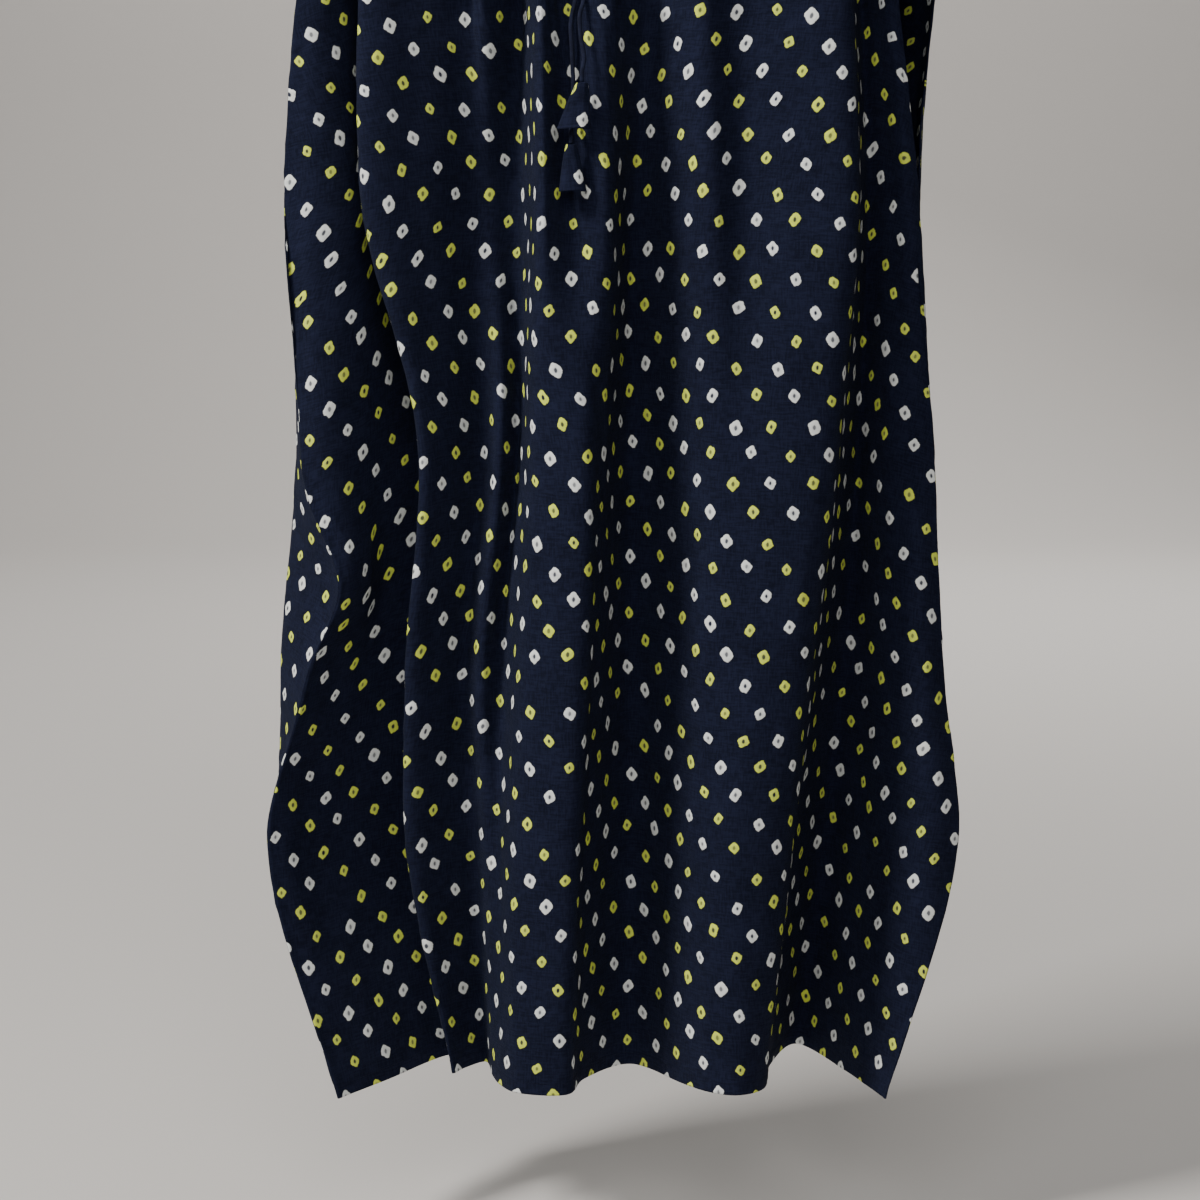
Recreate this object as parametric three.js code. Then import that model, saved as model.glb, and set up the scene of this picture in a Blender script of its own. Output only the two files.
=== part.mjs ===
// Long cotton kaftan, hung as if worn: a wide front and back panel cut in one with short
// wing sleeves, a gathered waist at the front and two free drawstring ends with cloth tassels.
// Millimetres, +Z up, the wearer faces -Y. The origin is the middle of the neck at shoulder height.
import * as THREE from 'three';

// Cloth and seams
const PANEL_WIDTH = 1046;
const WALL = 1.6;
const CASING_WALL = 1.4;
const TASSEL_WALL = 1.4;
const SEAM_GAP = 0.3;

// Garment heights
const WAIST_Z = -400;
const HIP_Z = -600;
const THIGH_Z = -825;
const KNEE_Z = -1060;
const CALF_Z = -1220;
const HEM_Z = -1453;
const CORNER_DROP = 20;
const DROP_POWER = 3;

// Shoulder and sleeve line, one half of the panel
const NECK_HALF = 95;
const SHOULDER_X = 190;
const SHOULDER_DROP = 45;
const CUFF_LEFT_X = -300;
const CUFF_RIGHT_X = 305;
const CUFF_Z = -346;

// Neckline drops below the shoulder line
const FRONT_NECK_DROP = 105;
const BACK_NECK_DROP = 26;
const NECK_ROUND = 2.4;

// Fullness of the body and of the sleeve above the waist
const CHEST_FRONT = 112;
const CHEST_BACK = -108;
const SLEEVE_FRONT = 58;
const SLEEVE_BACK = -58;
const CHEST_HALF = 160;
const SLEEVE_START = 320;
const CHEST_LEVEL = 0.42;
const FOLD_LEVEL = 0.3;

// The left side seam swings to the front below the hip
const SWING_Z = -962;
const SWING_IN = 33;
const SWING_OUT = 12;
const SWING_SPREAD = 62;
const SWING_FADE_FRONT = 95;
const SWING_FADE_BACK = 42;

// Grid of each panel
const BODICE_ROWS = 8;
const SKIRT_ROWS = 15;
const FRONT_CELL = 17;
const BACK_CELL = 19;
const SPLINE_POWER = 0.5;

// Waist casing on the front, and the height where the left side seam starts
const CASING_TOP = -389;
const CASING_BOTTOM = -411;
const CASING_LEFT = -150;
const CASING_RIGHT = 165;
const LEFT_SEAM_TOP = -428;

// Levels of the fold tables, from the waist down
const LEVELS = ['waist', 'hip', 'thigh', 'knee', 'calf', 'hem'];
const LEVEL_Z = [WAIST_Z, HIP_Z, THIGH_Z, KNEE_Z, CALF_Z, HEM_Z];

// Front panel: one row per fold line from the left seam to the right one.
// Each level gives the place across and the reach forward of the middle plane.
const FRONT_FOLDS = [
  { fold: 'left seam', waist: [-288, 52], hip: [-305, 36], thigh: [-293, 42],
    knee: [-294, 54], calf: [-331, 40], hem: [-266, 45] },
  { fold: 'left wing', waist: [-270, 54], hip: [-280, 44], thigh: [-273, 48],
    knee: [-281, 38], calf: [-313, 32], hem: [-247, 26] },
  { fold: 'left wing edge', waist: [-246, 36], hip: [-241, 26], thigh: [-238, 28],
    knee: [-258, 14], calf: [-290, 12], hem: [-222, 2] },
  { fold: 'left valley', waist: [-222, -22], hip: [-221, -30], thigh: [-182, -25],
    knee: [-198, -22], calf: [-200, -38], hem: [-158, -57] },
  { fold: 'left crest', waist: [-226, 86], hip: [-226, 84], thigh: [-178, 68],
    knee: [-194, 52], calf: [-195, 42], hem: [-155, 16] },
  { fold: 'left broad ridge', waist: [-170, 68], hip: [-172, 62], thigh: [-152, 50],
    knee: [-166, 36], calf: [-163, 26], hem: [-146, 4] },
  { fold: 'valley beside thin ridge', waist: [-128, 54], hip: [-128, 32], thigh: [-122, 24],
    knee: [-141, 16], calf: [-133, 10], hem: [-124, -16] },
  { fold: 'thin ridge', waist: [-118, 66], hip: [-112, 28], thigh: [-104, 48],
    knee: [-124, 40], calf: [-119, 30], hem: [-114, 33] },
  { fold: 'valley left of main ridge', waist: [-84, 34], hip: [-88, 18], thigh: [-88, 28],
    knee: [-106, 28], calf: [-106, 40], hem: [-106, 60] },
  { fold: 'main ridge', waist: [-64, 112], hip: [-62, 116], thigh: [-68, 100],
    knee: [-80, 90], calf: [-88, 88], hem: [-90, 85] },
  { fold: 'main ridge, right side', waist: [-45, 92], hip: [-40, 94], thigh: [-22, 114],
    knee: [-30, 106], calf: [-36, 102], hem: [-42, 92] },
  { fold: 'small ridge', waist: [-8, 108], hip: [-4, 112], thigh: [-8, 82],
    knee: [-15, 66], calf: [-22, 58], hem: [-26, 44] },
  { fold: 'middle valley', waist: [36, 80], hip: [23, 40], thigh: [21, 10],
    knee: [21, 0], calf: [20, -5], hem: [20, -3] },
  { fold: 'right ridge, left side', waist: [80, 106], hip: [90, 102], thigh: [94, 84],
    knee: [92, 79], calf: [87, 76], hem: [72, 58] },
  { fold: 'shallow valley', waist: [110, 90], hip: [121, 88], thigh: [122, 92],
    knee: [118, 92], calf: [108, 93], hem: [95, 82] },
  { fold: 'right broad ridge', waist: [160, 98], hip: [170, 100], thigh: [168, 100],
    knee: [150, 96], calf: [136, 95], hem: [121, 92] },
  { fold: 'right crest', waist: [214, 98], hip: [222, 100], thigh: [205, 93],
    knee: [181, 86], calf: [166, 82], hem: [147, 74] },
  { fold: 'right ridge flank', waist: [223, 58], hip: [233, 48], thigh: [222, 30],
    knee: [202, 5], calf: [184, -10], hem: [160, -12] },
  { fold: 'right valley', waist: [232, 34], hip: [243, 20], thigh: [241, -20],
    knee: [231, -45], calf: [220, -68], hem: [191, -88] },
  { fold: 'right wing', waist: [243, 48], hip: [262, 36], thigh: [266, 26],
    knee: [274, 20], calf: [270, 8], hem: [236, -20] },
  { fold: 'right wing edge', waist: [254, 66], hip: [278, 50], thigh: [290, 38],
    knee: [302, 40], calf: [308, 44], hem: [258, 22] },
  { fold: 'right seam', waist: [262, 66], hip: [287, 44], thigh: [306, 34],
    knee: [322, 26], calf: [337, 32], hem: [270, 46] },
];

// Back panel: one row per fold line between the two seams, from the right seam to the left one.
const BACK_FOLDS = [
  { fold: 'right wing', waist: [300, -62], hip: [292, -28], thigh: [303, -32],
    knee: [315, -25], calf: [322, -22], hem: [260, -2] },
  { fold: 'right wing fold', waist: [270, -74], hip: [270, -62], thigh: [280, -70],
    knee: [285, -68], calf: [282, -62], hem: [240, -50] },
  { fold: 'ridge 1', waist: [226, -96], hip: [232, -110], thigh: [238, -118],
    knee: [240, -124], calf: [232, -127], hem: [214, -122] },
  { fold: 'valley 1', waist: [190, -84], hip: [192, -72], thigh: [196, -72],
    knee: [196, -90], calf: [190, -106], hem: [180, -126] },
  { fold: 'ridge 2', waist: [150, -124], hip: [155, -140], thigh: [158, -150],
    knee: [156, -160], calf: [150, -166], hem: [145, -170] },
  { fold: 'valley 2', waist: [112, -100], hip: [112, -86], thigh: [112, -78],
    knee: [112, -74], calf: [110, -74], hem: [108, -76] },
  { fold: 'ridge 3', waist: [70, -130], hip: [70, -148], thigh: [70, -158],
    knee: [68, -164], calf: [65, -169], hem: [62, -172] },
  { fold: 'valley 3', waist: [28, -104], hip: [28, -90], thigh: [28, -82],
    knee: [27, -78], calf: [26, -76], hem: [25, -76] },
  { fold: 'ridge 4', waist: [-15, -132], hip: [-15, -148], thigh: [-15, -158],
    knee: [-16, -166], calf: [-18, -170], hem: [-20, -172] },
  { fold: 'valley 4', waist: [-56, -104], hip: [-57, -90], thigh: [-58, -82],
    knee: [-60, -78], calf: [-62, -76], hem: [-64, -75] },
  { fold: 'ridge 5', waist: [-98, -130], hip: [-100, -145], thigh: [-102, -155],
    knee: [-105, -162], calf: [-108, -168], hem: [-108, -170] },
  { fold: 'valley 5', waist: [-138, -98], hip: [-142, -80], thigh: [-146, -76],
    knee: [-150, -78], calf: [-152, -86], hem: [-146, -100] },
  { fold: 'ridge 6', waist: [-182, -112], hip: [-192, -120], thigh: [-196, -126],
    knee: [-200, -132], calf: [-198, -138], hem: [-184, -138] },
  { fold: 'valley 6', waist: [-222, -74], hip: [-230, -68], thigh: [-234, -68],
    knee: [-240, -72], calf: [-240, -86], hem: [-210, -92] },
  { fold: 'left wing fold', waist: [-262, -80], hip: [-275, -74], thigh: [-272, -76],
    knee: [-282, -70], calf: [-285, -62], hem: [-240, -52] },
  { fold: 'left wing', waist: [-292, -42], hip: [-303, -28], thigh: [-301, -20],
    knee: [-321, -10], calf: [-314, -16], hem: [-262, 0] },
];

// The sleeve mouths reach the waist, so the back edges have their own places there.
const BACK_RIGHT_EDGE_WAIST = [309, -42];
const BACK_LEFT_EDGE_WAIST = [-290, -24];

// Drawstring ends: one row per bend, across, reach forward and height
const CORD_RADIUS = 2.2;
const CORD_SIDES = 10;
const CORD_STEPS = 24;
const CORD_A = [
  { x: -24, out: 106.4, z: -411.5 },
  { x: -24.2, out: 107.2, z: -419 },
  { x: -28, out: 112, z: -434 },
  { x: -27, out: 116, z: -452 },
  { x: -24, out: 119, z: -472 },
  { x: -26, out: 120.8, z: -484 },
  { x: -26, out: 121, z: -492.6 },
];
const CORD_B = [
  { x: -32, out: 101.5, z: -411.5 },
  { x: -32.2, out: 102, z: -419 },
  { x: -36, out: 103, z: -438 },
  { x: -35, out: 103, z: -468 },
  { x: -34, out: 102, z: -500 },
  { x: -36, out: 108, z: -526 },
  { x: -36, out: 114, z: -540 },
  { x: -36, out: 115, z: -547.6 },
];

// Tassels: hollow cloth cones, flattened front to back
const TASSELS = {
  tassel_a: { x: -26, out: 121, top: -493.3, height: 41, neck: 5, mouth: 15.5, flat: 0.42, lean: -7 },
  tassel_b: { x: -36, out: 115, top: -548.3, height: 42, neck: 4.5, mouth: 12.8, flat: 0.62, lean: 1 },
};
const TASSEL_SIDES = 20;
const TASSEL_RINGS = 6;
const TASSEL_CAP = 2.5;
const TASSEL_FLARE = 0.8;

const NAVY = new THREE.MeshStandardMaterial({ color: 0x141b33, roughness: 0.9, metalness: 0 });
const NAVY_CORD = new THREE.MeshStandardMaterial({ color: 0x10162b, roughness: 0.85, metalness: 0 });

const clamp01 = (v) => Math.min(1, Math.max(0, v));
const mix = (a, b, t) => a + (b - a) * t;
const ease = (t) => {
  const c = clamp01(t);
  return c * c * (3 - 2 * c);
};

// Smooth curve through values given at uneven stations
function throughLevels(stations, values, at) {
  const last = stations.length - 1;
  let i = 0;
  while (i < last - 1 && at < stations[i + 1]) {
    i += 1;
  }
  const slope = (k) => (values[k + 1] - values[k]) / (stations[k + 1] - stations[k]);
  const tangent = (k) => {
    if (k === 0) return slope(0);
    if (k === last) return slope(last - 1);
    return (slope(k - 1) + slope(k)) / 2;
  };
  const step = stations[i + 1] - stations[i];
  const t = clamp01((at - stations[i]) / step);
  const rise = t * t * (3 - 2 * t);
  const lead = t * (1 - t) * (1 - t) * step;
  const tail = t * t * (t - 1) * step;
  return mix(values[i], values[i + 1], rise) + lead * tangent(i) + tail * tangent(i + 1);
}

// Point between fold b and fold c of a cross section, on a smooth curve through all folds
function throughFolds(a, b, c, d, t) {
  const gap = (p, q) => Math.max(1e-6, Math.hypot(q[0] - p[0], q[1] - p[1]) ** SPLINE_POWER);
  const ab = gap(a, b);
  const bc = gap(b, c);
  const cd = gap(c, d);
  return [0, 1].map((k) => {
    const leave = (b[k] - a[k]) / ab - (c[k] - a[k]) / (ab + bc) + (c[k] - b[k]) / bc;
    const arrive = (c[k] - b[k]) / bc - (d[k] - b[k]) / (bc + cd) + (d[k] - c[k]) / cd;
    const rise = t * t * (3 - 2 * t);
    const lead = t * (1 - t) * (1 - t) * bc;
    const tail = t * t * (t - 1) * bc;
    return mix(b[k], c[k], rise) + lead * leave + tail * arrive;
  });
}

// Shoulder and sleeve line: cloth distance from the middle gives the place across and the height
function shoulderAt(cloth, halfWidth) {
  const side = Math.sign(cloth) || 1;
  const reach = Math.abs(cloth);
  const cuffX = side < 0 ? -CUFF_LEFT_X : CUFF_RIGHT_X;
  const slopeEnd = Math.hypot(SHOULDER_X - NECK_HALF, SHOULDER_DROP) + NECK_HALF;
  const stations = [0, -NECK_HALF, -slopeEnd, -(slopeEnd + halfWidth) / 2, -halfWidth];
  const across = [0, NECK_HALF, SHOULDER_X, mix(SHOULDER_X, cuffX, 0.56), cuffX];
  const height = [0, 0, -SHOULDER_DROP, mix(-SHOULDER_DROP, CUFF_Z, 0.5), CUFF_Z];
  return {
    x: side * throughLevels(stations, across, -reach),
    z: throughLevels(stations, height, -reach),
  };
}

// Share of the way from shoulder to waist at which the neckline starts a column
function neckStart(cloth, drop) {
  const reach = Math.min(1, Math.abs(cloth) / NECK_HALF);
  return (drop / -WAIST_Z) * (1 - reach ** NECK_ROUND) ** 0.8;
}

function foldRows(table) {
  return table.map((row) => LEVELS.map((level) => row[level]));
}

// Cross section of a panel at a height: every fold line's place across and forward
function sectionAt(rows, z) {
  return rows.map((row) => [0, 1].map((k) => throughLevels(LEVEL_Z, row.map((p) => p[k]), z)));
}

function columnsOf(section, cells) {
  const points = [];
  section.forEach((here, i) => {
    if (i === section.length - 1) return;
    const before = section[Math.max(0, i - 1)];
    const next = section[i + 1];
    const after = section[Math.min(section.length - 1, i + 2)];
    for (let k = 0; k < cells[i]; k += 1) {
      points.push(throughFolds(before, here, next, after, k / cells[i]));
    }
  });
  points.push(section[section.length - 1]);
  return points;
}

function distancesAlong(points) {
  const out = [0];
  for (let i = 1; i < points.length; i += 1) {
    out.push(out[i - 1] + Math.hypot(points[i][0] - points[i - 1][0], points[i][1] - points[i - 1][1]));
  }
  return out;
}

// Heights of the rows below the bodice: waist, casing edge, seam top, then even steps
const SKIRT_HEIGHTS = [WAIST_Z, CASING_BOTTOM];
for (let r = 0; r <= SKIRT_ROWS; r += 1) {
  SKIRT_HEIGHTS.push(mix(LEFT_SEAM_TOP, HEM_Z, r / SKIRT_ROWS));
}

// Middle surface of a panel as rows of points from the shoulder to the hem
function panelSurface(spec) {
  const rows = foldRows(spec.folds);
  const calf = sectionAt(rows, CALF_Z);
  const cells = calf.slice(1).map((p, i) => {
    const length = Math.hypot(p[0] - calf[i][0], p[1] - calf[i][1]);
    return Math.min(6, Math.max(2, Math.round(length / spec.cell)));
  });
  const along = distancesAlong(columnsOf(calf, cells));
  const whole = along[along.length - 1];
  const cloth = along.map((d) => spec.direction * (d / whole - 0.5) * PANEL_WIDTH);
  const half = PANEL_WIDTH / 2;
  const waist = columnsOf(sectionAt(rows, WAIST_Z), cells);
  const grid = [];
  const casingTop = CASING_TOP / WAIST_Z;
  for (let r = 0; r < BODICE_ROWS; r += 1) {
    grid.push(cloth.map((u, c) => {
      const t = mix(neckStart(u, spec.neckDrop), casingTop, r / (BODICE_ROWS - 1));
      return bodicePoint(spec, u, half, waist[c], t);
    }));
  }
  SKIRT_HEIGHTS.forEach((z) => {
    grid.push(columnsOf(sectionAt(rows, z), cells).map((p, c) => {
      const down = ease((z - CALF_Z) / (HEM_Z - CALF_Z));
      const drop = CORNER_DROP * down * (Math.abs(cloth[c]) / half) ** DROP_POWER;
      const sway = Math.exp(-(((z - SWING_Z) / SWING_SPREAD) ** 2));
      const near = 1 - ease((cloth[c] + half) / spec.swingFade);
      return [p[0] + SWING_IN * sway * near, p[1] + SWING_OUT * sway * near, z - drop];
    }));
  });
  return grid;
}

function bodicePoint(spec, cloth, half, waist, t) {
  const top = shoulderAt(cloth, half);
  const sleeve = ease((Math.abs(cloth) - CHEST_HALF) / (SLEEVE_START - CHEST_HALF));
  const full = mix(spec.chest, spec.sleeve, sleeve);
  const round = Math.sin((Math.PI / 2) * Math.min(1, t / CHEST_LEVEL));
  const fold = ease((t - FOLD_LEVEL) / (1 - FOLD_LEVEL));
  return [mix(top.x, waist[0], t), mix(full * round, waist[1], fold), mix(top.z, WAIST_Z, t)];
}

const frontSpec = {
  folds: FRONT_FOLDS,
  cell: FRONT_CELL,
  direction: 1,
  neckDrop: FRONT_NECK_DROP,
  chest: CHEST_FRONT,
  sleeve: SLEEVE_FRONT,
  swingFade: SWING_FADE_FRONT,
};

const leftSeam = FRONT_FOLDS[0];
const rightSeam = FRONT_FOLDS[FRONT_FOLDS.length - 1];
const backSpec = {
  folds: [
    { ...rightSeam, waist: BACK_RIGHT_EDGE_WAIST },
    ...BACK_FOLDS,
    { ...leftSeam, waist: BACK_LEFT_EDGE_WAIST },
  ],
  cell: BACK_CELL,
  direction: -1,
  neckDrop: BACK_NECK_DROP,
  chest: CHEST_BACK,
  sleeve: SLEEVE_BACK,
  swingFade: SWING_FADE_BACK,
};

const toVector = (p) => new THREE.Vector3(p[0], -p[1], p[2]);

// First row, per side, from which the two panels are sewn together
const LEFT_SEWN_ROW = BODICE_ROWS + SKIRT_HEIGHTS.indexOf(LEFT_SEAM_TOP);
const RIGHT_SEWN_ROW = BODICE_ROWS + SKIRT_HEIGHTS.findIndex((z) => z <= HIP_Z);

const frontGrid = panelSurface(frontSpec).map((row) => row.map(toVector));
const backGrid = panelSurface(backSpec).map((row) => row.map(toVector));

// The two panels meet edge to edge along the sewn rows
frontGrid.forEach((row, r) => {
  const other = backGrid[r];
  if (r >= RIGHT_SEWN_ROW) {
    other[0].copy(row[row.length - 1]);
  }
  if (r >= LEFT_SEWN_ROW) {
    other[other.length - 1].copy(row[0]);
  }
});

// Outward normal of a grid point; a neighbour across a seam is taken from the other panel
function normalsOf(grid, other) {
  return grid.map((row, r) => row.map((point, c) => {
    const last = row.length - 1;
    const otherRow = other[r];
    const rightSewn = row === frontGrid[r] ? r >= RIGHT_SEWN_ROW : r >= LEFT_SEWN_ROW;
    const leftSewn = row === frontGrid[r] ? r >= LEFT_SEWN_ROW : r >= RIGHT_SEWN_ROW;
    let next = row[Math.min(last, c + 1)];
    let before = row[Math.max(0, c - 1)];
    if (c === last && rightSewn) {
      next = otherRow[1];
    }
    if (c === 0 && leftSewn) {
      before = otherRow[otherRow.length - 2];
    }
    const above = grid[Math.max(0, r - 1)][c];
    const below = grid[Math.min(grid.length - 1, r + 1)][c];
    const across = new THREE.Vector3().subVectors(next, before);
    const down = new THREE.Vector3().subVectors(below, above);
    const normal = new THREE.Vector3().crossVectors(down, across).normalize();
    if (r === 0 && Math.abs(point.y) < SEAM_GAP) {
      normal.y = 0;
      normal.normalize();
      if (normal.z < 0) normal.negate();
    }
    return normal;
  }));
}

// Sewn edges are drawn back half a seam gap from each other
function openSeams(grid, firstSewn, lastSewn) {
  const half = SEAM_GAP / 2;
  const towards = (from, to) => new THREE.Vector3().subVectors(to, from).setLength(half).add(from);
  const out = grid.map((row) => row.map((p) => p.clone()));
  grid.forEach((row, r) => {
    const last = row.length - 1;
    if (r >= firstSewn) out[r][0] = towards(row[0], row[1]);
    if (r >= lastSewn) out[r][last] = towards(row[last], row[last - 1]);
  });
  out[0].forEach((p, c) => {
    if (Math.abs(p.y) < half) p.y = Math.sign(grid[1][c].y) * half;
  });
  return out;
}

// Closed wall around a grid of points, half of its thickness on each side
function wallBody(grid, normals, thickness) {
  const rows = grid.length;
  const cols = grid[0].length;
  const positions = [];
  const place = (sign) => grid.forEach((row, r) => row.forEach((p, c) => {
    const q = p.clone().addScaledVector(normals[r][c], (sign * thickness) / 2);
    positions.push(q.x, q.y, q.z);
  }));
  place(1);
  place(-1);
  const at = (side, r, c) => side * rows * cols + r * cols + c;
  const faces = [];
  const quad = (a, b, c, d) => faces.push(a, b, c, a, c, d);
  for (let r = 0; r < rows - 1; r += 1) {
    for (let c = 0; c < cols - 1; c += 1) {
      quad(at(0, r, c), at(0, r + 1, c), at(0, r + 1, c + 1), at(0, r, c + 1));
      quad(at(1, r, c), at(1, r, c + 1), at(1, r + 1, c + 1), at(1, r + 1, c));
    }
  }
  for (let c = 0; c < cols - 1; c += 1) {
    quad(at(0, 0, c), at(0, 0, c + 1), at(1, 0, c + 1), at(1, 0, c));
    quad(at(0, rows - 1, c), at(1, rows - 1, c), at(1, rows - 1, c + 1), at(0, rows - 1, c + 1));
  }
  for (let r = 0; r < rows - 1; r += 1) {
    quad(at(0, r, 0), at(1, r, 0), at(1, r + 1, 0), at(0, r + 1, 0));
    quad(at(0, r, cols - 1), at(0, r + 1, cols - 1), at(1, r + 1, cols - 1), at(1, r, cols - 1));
  }
  const geometry = new THREE.BufferGeometry();
  geometry.setAttribute('position', new THREE.Float32BufferAttribute(positions, 3));
  geometry.setIndex(faces);
  geometry.computeVertexNormals();
  return geometry;
}

const group = new THREE.Group();
group.name = 'kaftan';

function addPiece(name, geometry, material) {
  const mesh = new THREE.Mesh(geometry, material);
  mesh.name = name;
  group.add(mesh);
}

const frontNormals = normalsOf(frontGrid, backGrid);
const backNormals = normalsOf(backGrid, frontGrid);
addPiece('front_panel',
  wallBody(openSeams(frontGrid, LEFT_SEWN_ROW, RIGHT_SEWN_ROW), frontNormals, WALL), NAVY);
addPiece('back_panel',
  wallBody(openSeams(backGrid, RIGHT_SEWN_ROW, LEFT_SEWN_ROW), backNormals, WALL), NAVY);

// The casing lies on the front panel: the panel's own points moved out by half of both walls and a gap
const casingRows = [BODICE_ROWS - 1, BODICE_ROWS, BODICE_ROWS + 1];
const waistRow = frontGrid[BODICE_ROWS];
const casingColumns = waistRow
  .map((p, c) => (p.x >= CASING_LEFT && p.x <= CASING_RIGHT ? c : -1))
  .filter((c) => c >= 0);
const casingNormals = casingRows.map((r) => casingColumns.map((c) => frontNormals[r][c]));
const casingLift = WALL / 2 + SEAM_GAP + CASING_WALL / 2;
const casingGrid = casingRows.map((r, i) => casingColumns.map((c, k) => (
  frontGrid[r][c].clone().addScaledVector(casingNormals[i][k], casingLift))));
addPiece('waist_casing', wallBody(casingGrid, casingNormals, CASING_WALL), NAVY);

function cord(bends) {
  const path = new THREE.CatmullRomCurve3(bends.map((b) => new THREE.Vector3(b.x, -b.out, b.z)));
  const ring = [];
  for (let i = 0; i < CORD_SIDES; i += 1) {
    const angle = (2 * Math.PI * i) / CORD_SIDES;
    ring.push(new THREE.Vector2(CORD_RADIUS * Math.cos(angle), CORD_RADIUS * Math.sin(angle)));
  }
  return new THREE.ExtrudeGeometry(new THREE.Shape(ring), { steps: CORD_STEPS, extrudePath: path });
}
addPiece('drawstring_end_a', cord(CORD_A), NAVY_CORD);
addPiece('drawstring_end_b', cord(CORD_B), NAVY_CORD);

// Closed body from elliptical rings between two end points on its axis
function ringBody(start, rings, end) {
  const positions = [...start];
  rings.forEach((ring) => {
    for (let i = 0; i < TASSEL_SIDES; i += 1) {
      const angle = (2 * Math.PI * i) / TASSEL_SIDES;
      positions.push(ring.x + ring.wide * Math.cos(angle), ring.y + ring.deep * Math.sin(angle), ring.z);
    }
  });
  positions.push(...end);
  const at = (r, i) => 1 + r * TASSEL_SIDES + (i % TASSEL_SIDES);
  const endIndex = 1 + rings.length * TASSEL_SIDES;
  const faces = [];
  for (let i = 0; i < TASSEL_SIDES; i += 1) {
    faces.push(0, at(0, i), at(0, i + 1));
    for (let r = 0; r < rings.length - 1; r += 1) {
      faces.push(at(r, i), at(r + 1, i), at(r + 1, i + 1));
      faces.push(at(r, i), at(r + 1, i + 1), at(r, i + 1));
    }
    faces.push(endIndex, at(rings.length - 1, i + 1), at(rings.length - 1, i));
  }
  const geometry = new THREE.BufferGeometry();
  geometry.setAttribute('position', new THREE.Float32BufferAttribute(positions, 3));
  geometry.setIndex(faces);
  geometry.computeVertexNormals();
  return geometry;
}

function tassel(spec) {
  const ringAt = (share, wall, lift) => {
    const radius = mix(spec.neck, spec.mouth, share ** TASSEL_FLARE);
    const flat = mix(1, spec.flat, Math.min(1, 2 * share));
    return {
      x: spec.x + spec.lean * share,
      y: -spec.out,
      z: spec.top - spec.height * share - lift,
      wide: radius - wall,
      deep: radius * flat - wall,
    };
  };
  const outer = [];
  const inner = [];
  for (let i = 0; i <= TASSEL_RINGS; i += 1) {
    const share = i / TASSEL_RINGS;
    outer.push(ringAt(share, 0, 0));
    inner.unshift(ringAt(share, TASSEL_WALL, TASSEL_CAP * (1 - share)));
  }
  const start = [spec.x, -spec.out, spec.top];
  const end = [spec.x, -spec.out, spec.top - TASSEL_CAP];
  return ringBody(start, [...outer, ...inner], end);
}
Object.entries(TASSELS).forEach(([name, spec]) => addPiece(name, tassel(spec), NAVY));

export default group;
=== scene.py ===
"""Long cotton kaftan with tie-dyed dots, hung as if worn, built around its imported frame."""

import bmesh
import bpy
import numpy as np
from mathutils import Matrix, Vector, noise


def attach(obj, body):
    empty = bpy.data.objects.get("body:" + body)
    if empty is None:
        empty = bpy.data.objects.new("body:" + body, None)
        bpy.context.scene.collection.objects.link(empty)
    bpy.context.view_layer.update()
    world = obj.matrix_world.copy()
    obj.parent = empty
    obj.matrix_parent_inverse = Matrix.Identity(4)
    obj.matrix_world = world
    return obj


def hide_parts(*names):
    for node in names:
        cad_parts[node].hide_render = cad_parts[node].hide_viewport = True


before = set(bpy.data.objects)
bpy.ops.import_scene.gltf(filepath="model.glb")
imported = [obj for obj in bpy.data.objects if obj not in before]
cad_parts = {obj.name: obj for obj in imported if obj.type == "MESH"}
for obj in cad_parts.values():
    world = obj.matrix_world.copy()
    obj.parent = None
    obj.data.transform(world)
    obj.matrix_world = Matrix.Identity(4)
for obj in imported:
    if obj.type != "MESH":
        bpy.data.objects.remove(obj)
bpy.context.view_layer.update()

bl_info = {
    "name": "Tie-dyed kaftan",
    "version": (1, 0, 0),
    "blender": (4, 5, 0),
    "location": "3D View > Sidebar > Kaftan",
    "description": "Builds a long cotton kaftan with wing sleeves, drawstring and tassels",
    "category": "Add Mesh",
}

MM = 0.001

# Heights of the garment in millimetres, as in the part
WAIST_Z = -400.0
HIP_Z = -600.0
THIGH_Z = -825.0
KNEE_Z = -1060.0
CALF_Z = -1220.0
HEM_Z = -1453.0
CORNER_DROP = 20.0
DROP_POWER = 3.0
PANEL_WIDTH = 1046.0
LEFT_SEAM_TOP = -428.0
CASING_TOP = -389.0
CASING_BOTTOM = -411.0
CASING_SIDES = (-150.0, 165.0)
CASING_LIFT = 1.8
HALF_GAP = 0.15

# Shoulder and sleeve line, neckline and fullness above the waist
NECK_HALF = 95.0
SHOULDER_X = 190.0
SHOULDER_DROP = 45.0
CUFF_LEFT_X = -300.0
CUFF_RIGHT_X = 305.0
CUFF_Z = -346.0
NECK_ROUND = 2.4
CHEST_HALF = 160.0
SLEEVE_START = 320.0
CHEST_LEVEL = 0.42
FOLD_LEVEL = 0.3

# The left side seam swings to the front below the hip
SWING_Z = -962.0
SWING_IN = 33.0
SWING_OUT = 12.0
SWING_SPREAD = 62.0

LEVEL_Z = (WAIST_Z, HIP_Z, THIGH_Z, KNEE_Z, CALF_Z, HEM_Z)

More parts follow.
